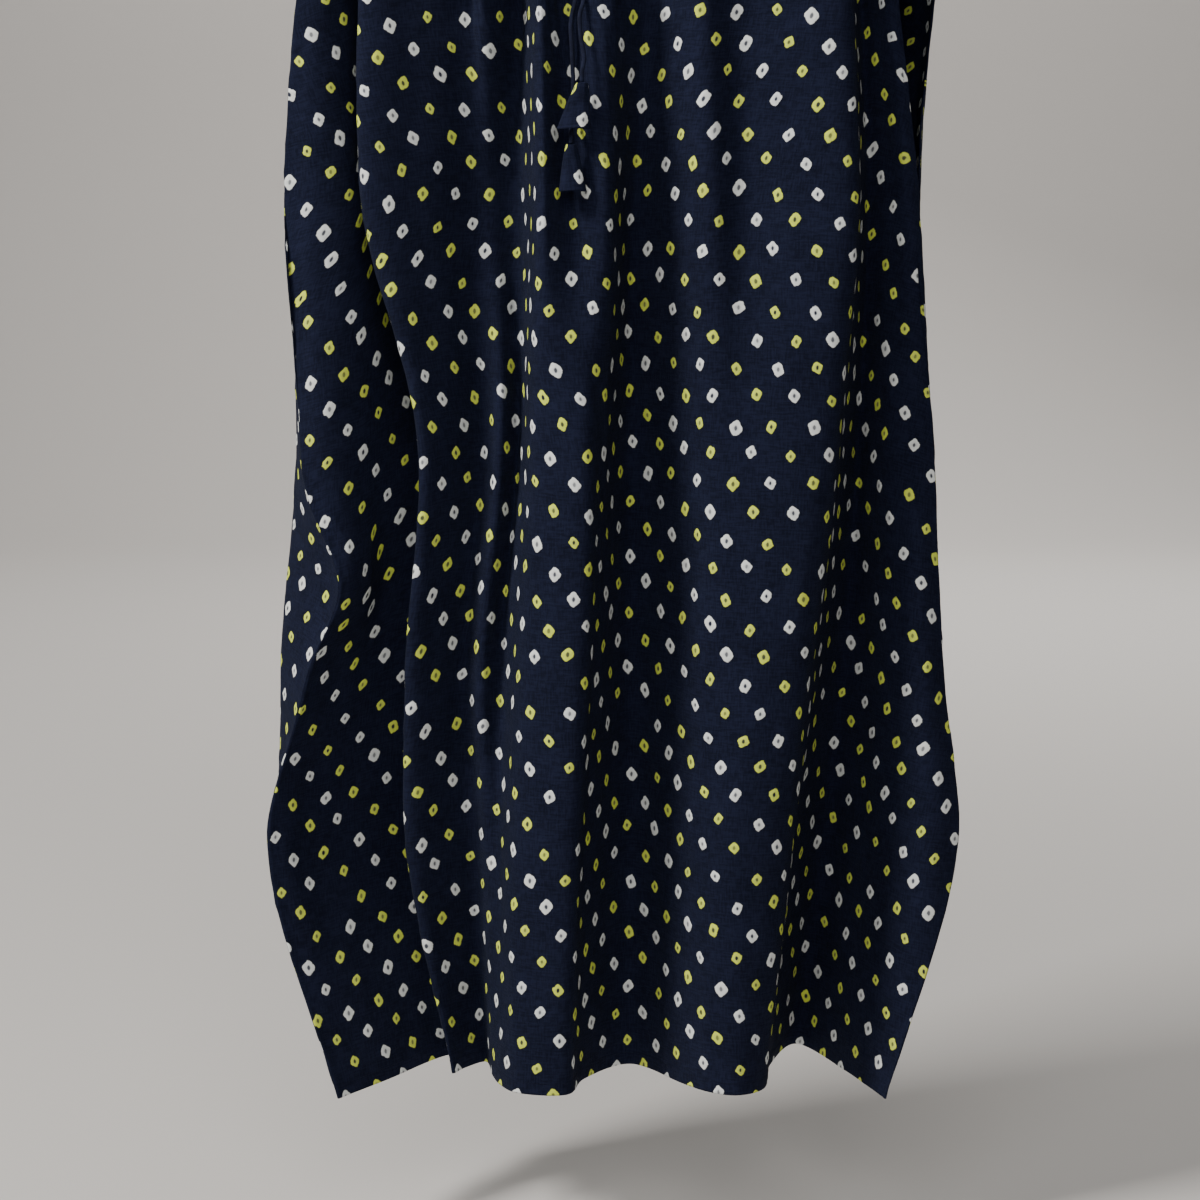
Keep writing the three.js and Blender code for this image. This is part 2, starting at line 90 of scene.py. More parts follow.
# Fold lines of the front, from the left seam to the right one: place across and reach forward
# at the waist, hip, thigh, knee, calf and hem
FRONT_FOLDS = (
    ("left seam", (-288, 52), (-305, 36), (-293, 42), (-294, 54), (-331, 40), (-266, 45)),
    ("left wing", (-270, 54), (-280, 44), (-273, 48), (-281, 38), (-313, 32), (-247, 26)),
    ("left wing edge", (-246, 36), (-241, 26), (-238, 28), (-258, 14), (-290, 12), (-222, 2)),
    ("left valley", (-222, -22), (-221, -30), (-182, -25), (-198, -22), (-200, -38), (-158, -57)),
    ("left crest", (-226, 86), (-226, 84), (-178, 68), (-194, 52), (-195, 42), (-155, 16)),
    ("left broad ridge", (-170, 68), (-172, 62), (-152, 50), (-166, 36), (-163, 26), (-146, 4)),
    ("thin valley", (-128, 54), (-128, 32), (-122, 24), (-141, 16), (-133, 10), (-124, -16)),
    ("thin ridge", (-118, 66), (-112, 28), (-104, 48), (-124, 40), (-119, 30), (-114, 33)),
    ("main valley", (-84, 34), (-88, 18), (-88, 28), (-106, 28), (-106, 40), (-106, 60)),
    ("main ridge", (-64, 112), (-62, 116), (-68, 100), (-80, 90), (-88, 88), (-90, 85)),
    ("main ridge right", (-45, 92), (-40, 94), (-22, 114), (-30, 106), (-36, 102), (-42, 92)),
    ("small ridge", (-8, 108), (-4, 112), (-8, 82), (-15, 66), (-22, 58), (-26, 44)),
    ("middle valley", (36, 80), (23, 40), (21, 10), (21, 0), (20, -5), (20, -3)),
    ("right ridge left", (80, 106), (90, 102), (94, 84), (92, 79), (87, 76), (72, 58)),
    ("shallow valley", (110, 90), (121, 88), (122, 92), (118, 92), (108, 93), (95, 82)),
    ("right broad ridge", (160, 98), (170, 100), (168, 100), (150, 96), (136, 95), (121, 92)),
    ("right crest", (214, 98), (222, 100), (205, 93), (181, 86), (166, 82), (147, 74)),
    ("right ridge flank", (223, 58), (233, 48), (222, 30), (202, 5), (184, -10), (160, -12)),
    ("right valley", (232, 34), (243, 20), (241, -20), (231, -45), (220, -68), (191, -88)),
    ("right wing", (243, 48), (262, 36), (266, 26), (274, 20), (270, 8), (236, -20)),
    ("right wing edge", (254, 66), (278, 50), (290, 38), (302, 40), (308, 44), (258, 22)),
    ("right seam", (262, 66), (287, 44), (306, 34), (322, 26), (337, 32), (270, 46)),
)

# Fold lines of the back, from the right seam to the left one
BACK_FOLDS = (
    ("right seam", (309, -42), (287, 44), (306, 34), (322, 26), (337, 32), (270, 46)),
    ("right wing", (300, -62), (292, -28), (303, -32), (315, -25), (322, -22), (260, -2)),
    ("right wing fold", (270, -74), (270, -62), (280, -70), (285, -68), (282, -62), (240, -50)),
    ("ridge 1", (226, -96), (232, -110), (238, -118), (240, -124), (232, -127), (214, -122)),
    ("valley 1", (190, -84), (192, -72), (196, -72), (196, -90), (190, -106), (180, -126)),
    ("ridge 2", (150, -124), (155, -140), (158, -150), (156, -160), (150, -166), (145, -170)),
    ("valley 2", (112, -100), (112, -86), (112, -78), (112, -74), (110, -74), (108, -76)),
    ("ridge 3", (70, -130), (70, -148), (70, -158), (68, -164), (65, -169), (62, -172)),
    ("valley 3", (28, -104), (28, -90), (28, -82), (27, -78), (26, -76), (25, -76)),
    ("ridge 4", (-15, -132), (-15, -148), (-15, -158), (-16, -166), (-18, -170), (-20, -172)),
    ("valley 4", (-56, -104), (-57, -90), (-58, -82), (-60, -78), (-62, -76), (-64, -75)),
    ("ridge 5", (-98, -130), (-100, -145), (-102, -155), (-105, -162), (-108, -168), (-108, -170)),
    ("valley 5", (-138, -98), (-142, -80), (-146, -76), (-150, -78), (-152, -86), (-146, -100)),
    ("ridge 6", (-182, -112), (-192, -120), (-196, -126), (-200, -132), (-198, -138), (-184, -138)),
    ("valley 6", (-222, -74), (-230, -68), (-234, -68), (-240, -72), (-240, -86), (-210, -92)),
    ("left wing fold", (-262, -80), (-275, -74), (-272, -76), (-282, -70), (-285, -62), (-240, -52)),
    ("left wing", (-292, -42), (-303, -28), (-301, -20), (-321, -10), (-314, -16), (-262, 0)),
    ("left seam", (-290, -24), (-305, 36), (-293, 42), (-294, 54), (-331, 40), (-266, 45)),
)

# How each panel differs above the waist: neckline drop, reach of chest and sleeve, seam fade
FRONT_CUT = {"direction": 1, "neck_drop": 105.0, "chest": 112.0, "sleeve": 58.0, "fade": 95.0}
BACK_CUT = {"direction": -1, "neck_drop": 26.0, "chest": -108.0, "sleeve": -58.0, "fade": 42.0}

# Drawstring ends: across, reach forward and height of each bend
CORD_A = ((-24, 106.4, -411.5), (-24.2, 107.2, -419), (-28, 112, -434), (-27, 116, -452),
          (-24, 119, -472), (-26, 120.8, -484), (-26, 121, -492.6))
CORD_B = ((-32, 101.5, -411.5), (-32.2, 102, -419), (-36, 103, -438), (-35, 103, -468),
          (-34, 102, -500), (-36, 108, -526), (-36, 114, -540), (-36, 115, -547.6))
CORD_RADIUS = 2.2

# Tassels: hollow cloth cones, flattened front to back
TASSEL_A = {"x": -26, "out": 121, "top": -493.3, "height": 41, "neck": 5, "mouth": 15.5,
            "flat": 0.42, "lean": -7, "dot": (4.5, 31.0)}
TASSEL_B = {"x": -36, "out": 115, "top": -548.3, "height": 42, "neck": 4.5, "mouth": 12.8,
            "flat": 0.62, "lean": 1, "dot": (5.5, 27.0)}
TASSEL_CAP = 2.5
TASSEL_FLARE = 0.8
TASSEL_SIDES = 72
TASSEL_RINGS = 34
TASSEL_PLEATS = 9
PLEAT_DEPTH = 0.45
TASSEL_STITCHES_UP = 3.2
TUBE_SIDES = 20
TUBE_FLATNESS = 0.86
STEPS_PER_BEND = 10
STITCH_SIDES = 6
STITCH_RAISE = 0.22

# Tied dots: squares on their corners with ragged edges and a slit of ground colour in the middle
DOT_ANGLE = 0.785
DOT_TURN = 0.7
DOT_ACROSS = 1.1
DOT_DOWN = 0.93
DOT_CORNERS = 3.6
DOT_RAGGED = 2.4
DOT_STRETCH = (0.88, 0.24)
DOT_SIZE = (0.66, 0.22)
DOT_EDGE = (-0.4, 0.5)
DOT_MISSED = 0.025
# Each dot turns greyer towards its middle: distance over which that grey fades out, and how much of it
# is mixed in
DOT_GREY_SPAN = (2.0, 5.6)
DOT_GREY_SHARE = 0.28
SLIT_TALL = 0.62
SLIT_EDGE = (0.55, 1.5)
SLIT_DEPTH = (0.6, 0.4)

# Woven ground: mottled dye, uneven threads, weave and crinkles, scales per metre
MOTTLE_SCALE = 22
MOTTLE_RANGE = (0.3, 0.75)
SLUB_LONG = (14.0, 12.0)
SLUB_THIN = (1.7, 1.5)
SLUB_RANGE = (0.4, 0.6)
TONE_SHARE = 0.75
RAGGED_SCALE = 260
WEAVE_SCALE = 900
CRINKLE_SCALE = 75
PUCKER_RANGE = (-2.0, 3.5)
FULL_TURN = 6.2832
SHEEN_TINT = (0.45, 0.55, 0.8, 1)
SHEEN_SPREAD = 0.4

# Middle of the view, and the floor that curves up into a wall, in metres
VIEW_MIDDLE = (-0.0097, 0.0, -0.985)
FLOOR_FRONT = -6.5
FLOOR_BACK = 4.9
FLOOR_HALF = 8.0
FLOOR_RADIUS = 1.3
FLOOR_BENDS = 12
WALL_TOP = 3.6
WALL_MIDDLE = (0, 6.2, -0.7)
FLOOR_COLOUR = (0.62, 0.6, 0.58, 1)
SKY_COLOUR = (0.9, 0.93, 1.0, 1)

# Rows of the fine mesh above the waist, and across the casing
BODICE_ROWS = 42
CASING_ROWS = 13

# Small forms of the sewn cloth, in millimetres
GATHER_DEPTH = 2.0
GATHER_FADE = 42.0
GATHER_HALF = 230.0
GATHER_EDGE = 60.0
SEAM_GROOVE = 0.55
SEAM_GROOVE_IN = 7.0
SEAM_RIDGE = 0.5
HEM_STEP = 0.35
TURNED_EXTRA = 0.5
TURN_EDGE = 1.5
CASING_PUFF = 0.9
ON_SHOULDER = 0.3


def mix(a, b, t):
    """Value between a and b at the share t."""
    return a + (b - a) * t


def ease(t):
    """Share that leaves 0 and reaches 1 smoothly."""
    c = np.clip(t, 0.0, 1.0)
    return c * c * (3.0 - 2.0 * c)


# Surface of the panels
def through_levels(stations, values, at):
    """Smooth curve through values at falling stations, read at each height of at."""
    stations = np.asarray(stations, float)
    values = np.asarray(values, float)
    slopes = np.diff(values) / np.diff(stations)
    tangents = np.concatenate([slopes[:1], (slopes[:-1] + slopes[1:]) / 2, slopes[-1:]])
    at = np.asarray(at, float)
    i = np.clip(np.searchsorted(-stations, -at, side="right") - 1, 0, len(stations) - 2)
    step = stations[i + 1] - stations[i]
    t = np.clip((at - stations[i]) / step, 0.0, 1.0)
    rise = t * t * (3 - 2 * t)
    lead = t * (1 - t) ** 2 * step
    tail = t * t * (t - 1) * step
    return mix(values[i], values[i + 1], rise) + lead * tangents[i] + tail * tangents[i + 1]


def through_folds(a, b, c, d, t):
    """Points between folds b and c of many cross sections, on a curve through all folds."""

    def gap(p, q):
        return np.maximum(1e-6, np.sqrt(np.hypot(*(q - p).T)))[:, None]

    ab, bc, cd = gap(a, b), gap(b, c), gap(c, d)
    leave = (b - a) / ab - (c - a) / (ab + bc) + (c - b) / bc
    arrive = (c - b) / bc - (d - b) / (bc + cd) + (d - c) / cd
    rise = t * t * (3 - 2 * t)
    return mix(b, c, rise) + t * (1 - t) ** 2 * bc * leave + t * t * (t - 1) * bc * arrive


def sections(folds, heights):
    """Place across and forward of every fold line at each height: rows, folds, two."""
    lines = []
    for row in folds:
        points = np.array(row[1:], float)
        across = through_levels(LEVEL_Z, points[:, 0], heights)
        lines.append(np.stack([across, through_levels(LEVEL_Z, points[:, 1], heights)], axis=-1))
    return np.stack(lines, axis=1)


def columns_of(section, cells):
    """Points across each section, with the given number of cells between fold lines."""
    points = []
    last = section.shape[1] - 1
    for i in range(last):
        before, here = section[:, max(0, i - 1)], section[:, i]
        after, beyond = section[:, i + 1], section[:, min(last, i + 2)]
        for k in range(cells[i]):
            points.append(through_folds(before, here, after, beyond, k / cells[i]))
    points.append(section[:, last])
    return np.stack(points, axis=1)


def shoulder_at(cloth):
    """Place across and height of the shoulder and sleeve line at a distance along the cloth."""
    half = PANEL_WIDTH / 2
    reach = np.abs(cloth)
    side = np.where(cloth < 0, -1.0, 1.0)
    slope_end = np.hypot(SHOULDER_X - NECK_HALF, SHOULDER_DROP) + NECK_HALF
    stations = (0, -NECK_HALF, -slope_end, -(slope_end + half) / 2, -half)
    height = (0, 0, -SHOULDER_DROP, mix(-SHOULDER_DROP, CUFF_Z, 0.5), CUFF_Z)
    across = []
    for cuff in (-CUFF_LEFT_X, CUFF_RIGHT_X):
        places = (0, NECK_HALF, SHOULDER_X, mix(SHOULDER_X, cuff, 0.56), cuff)
        across.append(through_levels(stations, places, -reach))
    return side * np.where(cloth < 0, across[0], across[1]), through_levels(stations, height, -reach)


def panel_points(folds, cut, cell, bodice, heights):
    """Middle surface of a panel, rows from the shoulder to the hem, and its cloth distances."""
    calf = sections(folds, [CALF_Z])
    lengths = np.hypot(*np.diff(calf[0], axis=0).T)
    cells = np.maximum(6, np.round(lengths / cell)).astype(int)
    calf_columns = columns_of(calf, cells)[0]
    along = np.concatenate([[0], np.cumsum(np.hypot(*np.diff(calf_columns, axis=0).T))])
    cloth = cut["direction"] * (along / along[-1] - 0.5) * PANEL_WIDTH
    waist = columns_of(sections(folds, [WAIST_Z]), cells)[0]
    top_x, top_z = shoulder_at(cloth)
    reach = np.minimum(1.0, np.abs(cloth) / NECK_HALF)
    start = (cut["neck_drop"] / -WAIST_Z) * (1 - reach**NECK_ROUND) ** 0.8
    sleeve = ease((np.abs(cloth) - CHEST_HALF) / (SLEEVE_START - CHEST_HALF))
    full = mix(cut["chest"], cut["sleeve"], sleeve)
    rows = []
    for share in bodice:
        t = mix(start, 1.0, share)
        swell = np.sin(np.pi / 2 * np.minimum(1.0, t / CHEST_LEVEL))
        fold = ease((t - FOLD_LEVEL) / (1 - FOLD_LEVEL))
        rows.append(np.stack([mix(top_x, waist[:, 0], t), mix(full * swell, waist[:, 1], fold),
                              mix(top_z, WAIST_Z, t)], axis=-1))
    skirt = columns_of(sections(folds, heights), cells)
    half = PANEL_WIDTH / 2
    for z, row in zip(heights, skirt):
        below = ease((z - CALF_Z) / (HEM_Z - CALF_Z))
        drop = CORNER_DROP * below * (np.abs(cloth) / half) ** DROP_POWER
        sway = np.exp(-(((z - SWING_Z) / SWING_SPREAD) ** 2))
        near = 1 - ease((cloth + half) / cut["fade"])
        rows.append(np.stack([row[:, 0] + SWING_IN * sway * near, row[:, 1] + SWING_OUT * sway * near,
                              z - drop], axis=-1))
    points = np.stack(rows)
    points[..., 1] *= -1
    return points, cloth


def even_rows(stops, spacing):
    """Heights from stop to stop with close to even spacing."""
    rows = []
    for a, b in zip(stops[:-1], stops[1:]):
        count = max(1, round(abs(b - a) / spacing))
        rows.extend(mix(a, b, k / count) for k in range(count))
    rows.append(stops[-1])
    return rows


def grid_normals(points, left=None, right=None):
    """Outward normals of a grid; left and right are the neighbour columns across sewn seams."""
    before = np.concatenate([points[:, :1], points[:, :-1]], axis=1)
    after = np.concatenate([points[:, 1:], points[:, -1:]], axis=1)
    if left is not None:
        before[left[1], 0] = left[0][left[1]]
    if right is not None:
        after[right[1], -1] = right[0][right[1]]
    above = np.concatenate([points[:1], points[:-1]], axis=0)
    below = np.concatenate([points[1:], points[-1:]], axis=0)
    normals = np.cross(below - above, after - before)
    lengths = np.linalg.norm(normals, axis=-1, keepdims=True)
    return normals / np.maximum(lengths, 1e-9)


def arc_lengths(points, axis):
    """Distance along the surface from its first row or column."""
    steps = np.linalg.norm(np.diff(points, axis=axis), axis=-1)
    zero = np.zeros_like(np.take(steps, [0], axis=axis))
    return np.cumsum(np.concatenate([zero, steps], axis=axis), axis=axis)


def cloth_relief(points, strength):
    """Soft creases and puckers as a height for each point, the same wherever two panels meet."""
    flat = points.reshape(-1, 3)
    out = np.empty(len(flat))
    for i, (x, y, z) in enumerate(flat):
        long = noise.noise(Vector((x / 34, y / 34, z / 170)))
        short = noise.noise(Vector((x / 13 + 7, y / 13, z / 30)))
        fine = noise.noise(Vector((x / 5.5, y / 5.5 + 3, z / 7)))
        crease = 1 - abs(noise.noise(Vector((x / 45 + 3, y / 45, z / 60 + 9)))) * 7
        out[i] = 1.5 * long + 0.55 * short + 0.16 * fine + 0.8 * max(0.0, crease)
    return strength * out.reshape(points.shape[:2])


def wall_mesh(name, points, normals, thickness, uv):
    """Closed wall around a grid of points, as one object with its cloth coordinates as UV."""
    rows, cols = points.shape[:2]
    offset = normals * (np.broadcast_to(thickness, (rows, cols))[..., None] / 2)
    verts = np.concatenate([(points + offset).reshape(-1, 3), (points - offset).reshape(-1, 3)])
    index = np.arange(rows * cols).reshape(rows, cols)
    inner = index + rows * cols

    def quads(a, b, c, d):
        return np.stack([a, b, c, d], axis=-1).reshape(-1, 4)

    faces = np.concatenate([
        quads(index[:-1, :-1], index[1:, :-1], index[1:, 1:], index[:-1, 1:]),
        quads(inner[:-1, :-1], inner[:-1, 1:], inner[1:, 1:], inner[1:, :-1]),
        quads(index[0, :-1], index[0, 1:], inner[0, 1:], inner[0, :-1]),
        quads(index[-1, :-1], inner[-1, :-1], inner[-1, 1:], index[-1, 1:]),
        quads(index[:-1, 0], inner[:-1, 0], inner[1:, 0], index[1:, 0]),
        quads(index[:-1, -1], index[1:, -1], inner[1:, -1], inner[:-1, -1]),
    ])
    return mesh_piece(name, verts, faces, np.concatenate([uv.reshape(-1, 2), uv.reshape(-1, 2)]))


def finish_piece(piece, node, material):
    """Give a piece its material and body, and hide the part's node that it stands for."""
    piece.data.materials.clear()
    piece.data.materials.append(material)
    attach(piece, "root")
    if node:
        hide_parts(node)
    return piece


# Cloth materials
class Graph:
    """Short names for building a material's nodes."""

    def __init__(self, name):
        self.material = bpy.data.materials.new(name)
        self.material.use_nodes = True
        self.nodes = self.material.node_tree.nodes
        self.links = self.material.node_tree.links
        self.shader = self.nodes["Principled BSDF"]

    def feed(self, socket, value):
        if isinstance(value, bpy.types.NodeSocket):
            self.links.new(value, socket)
        else:
            socket.default_value = value

    def math(self, operation, a, b=0.0, c=0.0):
        node = self.nodes.new("ShaderNodeMath")
        node.operation = operation
        for socket, value in zip(node.inputs, (a, b, c)):
            self.feed(socket, value)
        return node.outputs[0]

    def blend(self, share, a, b):
        node = self.nodes.new("ShaderNodeMix")
        node.data_type = "RGBA"
        self.feed(node.inputs["Factor"], share)
        self.feed(node.inputs[6], a)
        self.feed(node.inputs[7], b)
        return node.outputs[2]

    def ramp(self, value, low, high):
        node = self.nodes.new("ShaderNodeMapRange")
        node.interpolation_type = "SMOOTHSTEP"
        self.feed(node.inputs["Value"], value)
        node.inputs["From Min"].default_value = low
        node.inputs["From Max"].default_value = high
        return node.outputs[0]

    def noise(self, vector, scale, detail=2.0, rough=0.5):
        node = self.nodes.new("ShaderNodeTexNoise")
        self.links.new(vector, node.inputs["Vector"])
        node.inputs["Scale"].default_value = scale
        node.inputs["Detail"].default_value = detail
        node.inputs["Roughness"].default_value = rough
        return node.outputs[0]

    def vector(self, x, y, z=0.0):
        node = self.nodes.new("ShaderNodeCombineXYZ")
        for socket, value in zip(node.inputs, (x, y, z)):
            self.feed(socket, value)
        return node.outputs[0]

    def random(self, x, y, seed):
        white = self.nodes.new("ShaderNodeTexWhiteNoise")
        white.noise_dimensions = "3D"
        self.links.new(self.vector(x, y, seed), white.inputs["Vector"])
        split = self.nodes.new("ShaderNodeSeparateColor")
        self.links.new(white.outputs["Color"], split.inputs[0])
        return split.outputs[0], split.outputs[1], split.outputs[2]

    def bump(self, height, distance, strength, below=None):
        node = self.nodes.new("ShaderNodeBump")
        node.inputs["Distance"].default_value = distance
        node.inputs["Strength"].default_value = strength
        self.links.new(height, node.inputs["Height"])
        if below is not None:
            self.links.new(below, node.inputs["Normal"])
        return node.outputs[0]


def tie_dyed_cotton(name, look):
    """Navy cotton with rows of tied dots, alternately white and yellow-green, in cloth millimetres."""
    g = Graph(name)
    uv = g.nodes.new("ShaderNodeUVMap")
    uv.uv_map = "cloth"
    split = g.nodes.new("ShaderNodeSeparateXYZ")
    g.links.new(uv.outputs[0], split.inputs[0])
    x = g.math("MULTIPLY", split.outputs[0], 1 / MM)
    y = g.math("MULTIPLY", split.outputs[1], 1 / MM)
    step_down, step_over = look.row_step / MM, look.row_gap / MM
    slant = step_over / 2
    down = g.math("ROUND", g.math("DIVIDE", y, step_down))
    shift = g.math("MULTIPLY", g.math("DIVIDE", y, step_down), slant)
    over = g.math("ROUND", g.math("DIVIDE", g.math("SUBTRACT", x, shift), step_over))
    move_x, move_y, turn = g.random(over, down, 1.3)
    size, odd, wide = g.random(over, down, 7.7)
    middle_x = g.math("ADD", g.math("MULTIPLY", over, step_over), g.math("MULTIPLY", down, slant))
    middle_y = g.math("MULTIPLY", down, step_down)
    wander = look.wander / MM
    dx = g.math("SUBTRACT", g.math("SUBTRACT", x, middle_x),
                g.math("MULTIPLY", g.math("SUBTRACT", move_x, 0.5), wander))
    dy = g.math("SUBTRACT", g.math("SUBTRACT", y, middle_y),
                g.math("MULTIPLY", g.math("SUBTRACT", move_y, 0.5), wander))
    angle = g.math("ADD", DOT_ANGLE, g.math("MULTIPLY", g.math("SUBTRACT", turn, 0.5), DOT_TURN))
    cos, sin = g.math("COSINE", angle), g.math("SINE", angle)
    tall_x, tall_y = g.math("MULTIPLY", dx, DOT_ACROSS), g.math("MULTIPLY", dy, DOT_DOWN)
    rx = g.math("SUBTRACT", g.math("MULTIPLY", tall_x, cos), g.math("MULTIPLY", tall_y, sin))
    ry = g.math("ADD", g.math("MULTIPLY", tall_x, sin), g.math("MULTIPLY", tall_y, cos))
    rough = g.noise(uv.outputs[0], RAGGED_SCALE, 3, 0.6)
    ragged = g.math("MULTIPLY", g.math("SUBTRACT", rough, 0.5), DOT_RAGGED)
    stretch = g.math("ADD", DOT_STRETCH[0], g.math("MULTIPLY", wide, DOT_STRETCH[1]))
    ax = g.math("ABSOLUTE", g.math("MULTIPLY", rx, stretch))
    ay = g.math("ABSOLUTE", g.math("DIVIDE", ry, stretch))
    both = g.math("ADD", g.math("POWER", ax, DOT_CORNERS), g.math("POWER", ay, DOT_CORNERS))
    far = g.math("ADD", g.math("POWER", both, 1 / DOT_CORNERS), ragged)
    is_white = g.math("LESS_THAN", g.math("MODULO", g.math("ABSOLUTE", over), 2.0), 0.5)
    half_yellow, half_white = look.yellow_dot / MM / 2, look.white_dot / MM / 2
    base = g.math("ADD", half_yellow, g.math("MULTIPLY", is_white, half_white - half_yellow))
    radius = g.math("MULTIPLY", base, g.math("ADD", DOT_SIZE[0], g.math("MULTIPLY", size, DOT_SIZE[1])))
    share = g.math("SUBTRACT", radius, far)
    dot = g.ramp(share, *DOT_EDGE)
    kept = g.math("GREATER_THAN", odd, DOT_MISSED)
    dot = g.math("MULTIPLY", dot, kept)
    hole_x = g.math("ADD", dx, g.math("MULTIPLY", ragged, 0.5))
    hole_y = g.math("SUBTRACT", g.math("MULTIPLY", dy, SLIT_TALL), g.math("MULTIPLY", ragged, 0.4))
    hole_far = g.math("SQRT", g.math("ADD", g.math("MULTIPLY", hole_x, hole_x),
                                     g.math("MULTIPLY", hole_y, hole_y)))
    past_slit = g.math("SUBTRACT", hole_far, g.math("MULTIPLY", size, 0.5))
    hole = g.math("SUBTRACT", 1.0, g.ramp(past_slit, *SLIT_EDGE))
    hole = g.math("MULTIPLY", hole, g.math("ADD", SLIT_DEPTH[0], g.math("MULTIPLY", odd, SLIT_DEPTH[1])))
    mottled = g.noise(uv.outputs[0], MOTTLE_SCALE, 4, 0.6)
    weft_place = g.vector(g.math("DIVIDE", x, SLUB_LONG[0]), g.math("DIVIDE", y, SLUB_THIN[0]))
    weft_slub = g.noise(weft_place, 1.0, 2, 0.6)
    warp_place = g.vector(g.math("DIVIDE", x, SLUB_THIN[1]), g.math("DIVIDE", y, SLUB_LONG[1]), 5.0)
    warp_slub = g.noise(warp_place, 1.0, 2, 0.6)
    slubs = g.math("MULTIPLY", g.math("ADD", weft_slub, warp_slub), 0.5)
    tone = g.math("ADD", g.math("MULTIPLY", g.ramp(mottled, *MOTTLE_RANGE), 0.5),
                  g.ramp(slubs, *SLUB_RANGE))
    navy = g.blend(g.math("MULTIPLY", tone, TONE_SHARE), (*look.navy_deep, 1), (*look.navy, 1))
    tied = g.blend(is_white, (*look.yellow, 1), (*look.white, 1))
    # The middle of each dot is mixed towards a bluish grey that fades out towards the dot's edge
    dyed = g.ramp(g.math("ADD", far, g.math("MULTIPLY", mottled, 3.0)), *DOT_GREY_SPAN)
    grey = g.blend(dyed, (*look.dot_middle_grey, 1), tied)
    inside = g.blend(hole, g.blend(DOT_GREY_SHARE, tied, grey), (*look.navy, 1))
    colour = g.blend(dot, navy, inside)
    g.links.new(colour, g.shader.inputs["Base Color"])
    threads = FULL_TURN * MM / look.thread
    warp = g.math("SINE", g.math("MULTIPLY", x, threads))
    weft = g.math("SINE", g.math("MULTIPLY", y, threads))
    slub = g.noise(uv.outputs[0], WEAVE_SCALE, 2, 0.7)
    weave = g.math("ADD", g.math("MULTIPLY", g.math("MULTIPLY", warp, weft), 0.5), slub)
    pucker = g.ramp(share, *PUCKER_RANGE)
    crinkle = g.noise(uv.outputs[0], CRINKLE_SCALE, 4, 0.6)
    normal = g.bump(g.math("ADD", weave, g.math("MULTIPLY", slubs, 2.0)), 0.0003, 0.6)
    normal = g.bump(pucker, 0.0012, 0.5, normal)
    normal = g.bump(crinkle, 0.0026, 0.55, normal)
    g.links.new(normal, g.shader.inputs["Normal"])
    g.shader.inputs["Roughness"].default_value = 0.88
    g.shader.inputs["Specular IOR Level"].default_value = 0.08
    g.shader.inputs["Sheen Weight"].default_value = look.sheen
    g.shader.inputs["Sheen Roughness"].default_value = SHEEN_SPREAD
    g.shader.inputs["Sheen Tint"].default_value = SHEEN_TINT
    return g.material


def plain_navy(name, look, scale):
    """Plain navy cloth or thread without dots."""
    g = Graph(name)
    place = g.nodes.new("ShaderNodeTexCoord").outputs["Object"]
    mottled = g.noise(place, scale, 4, 0.6)
    navy = g.blend(g.ramp(mottled, *MOTTLE_RANGE), (*look.navy_deep, 1), (*look.navy, 1))
    g.links.new(navy, g.shader.inputs["Base Color"])
    g.links.new(g.bump(g.noise(place, scale * 12, 2, 0.7), 0.0004, 0.6), g.shader.inputs["Normal"])
    g.shader.inputs["Roughness"].default_value = 0.85
    g.shader.inputs["Specular IOR Level"].default_value = 0.14
    g.shader.inputs["Sheen Weight"].default_value = look.sheen
    g.shader.inputs["Sheen Roughness"].default_value = SHEEN_SPREAD
    return g.material


def cloth_material():
    """Dotted cotton of the panels, casing and tassels."""
    found = bpy.data.materials.get("tie_dyed_cotton")
    return found or tie_dyed_cotton("tie_dyed_cotton", bpy.context.scene.kaftan_look)


def cord_material():
    """Plain cotton of the drawstring."""
    found = bpy.data.materials.get("navy_cord_cloth")
    return found or plain_navy("navy_cord_cloth", bpy.context.scene.kaftan_look, 160)


def thread_material():
    """Navy sewing thread."""
    found = bpy.data.materials.get("navy_thread")
    return found or plain_navy("navy_thread", bpy.context.scene.kaftan_look, 500)


# Settings
class KaftanCloth(bpy.types.PropertyGroup):
    """Sizes of the cloth walls and their folds."""

    wall: bpy.props.FloatProperty(
        name="Cloth wall", description="Thickness of the panels", default=0.0011, unit="LENGTH")
    hem_turn: bpy.props.FloatProperty(
        name="Hem turning", description="Depth of the turned hem", default=0.014, unit="LENGTH")
    cell: bpy.props.FloatProperty(
        name="Column width", description="Width of one mesh column", default=0.0052, unit="LENGTH")
    row: bpy.props.FloatProperty(
        name="Row height", description="Height of one mesh row", default=0.0085, unit="LENGTH")
    crease: bpy.props.FloatProperty(
        name="Creasing", description="Strength of the small creases", default=1.0, min=0.0, max=3.0)
    cuff_turn: bpy.props.FloatProperty(
        name="Sleeve turning", description="Depth of the turned sleeve edge", default=0.009,
        unit="LENGTH")
    neck_turn: bpy.props.FloatProperty(
        name="Neck turning", description="Depth of the turned neckline", default=0.007, unit="LENGTH")
    tassel_wall: bpy.props.FloatProperty(
        name="Tassel wall", description="Thickness of the tassel cloth", default=0.0012, unit="LENGTH")


class KaftanSewing(bpy.types.PropertyGroup):
    """Size of the machine stitches."""

    spacing: bpy.props.FloatProperty(
        name="Spacing", description="Distance from stitch to stitch", default=0.0036, unit="LENGTH")
    length: bpy.props.FloatProperty(
        name="Stitch", description="Length of one stitch", default=0.0026, unit="LENGTH")
    thread: bpy.props.FloatProperty(
        name="Thread", description="Thickness of the thread", default=0.0004, unit="LENGTH")


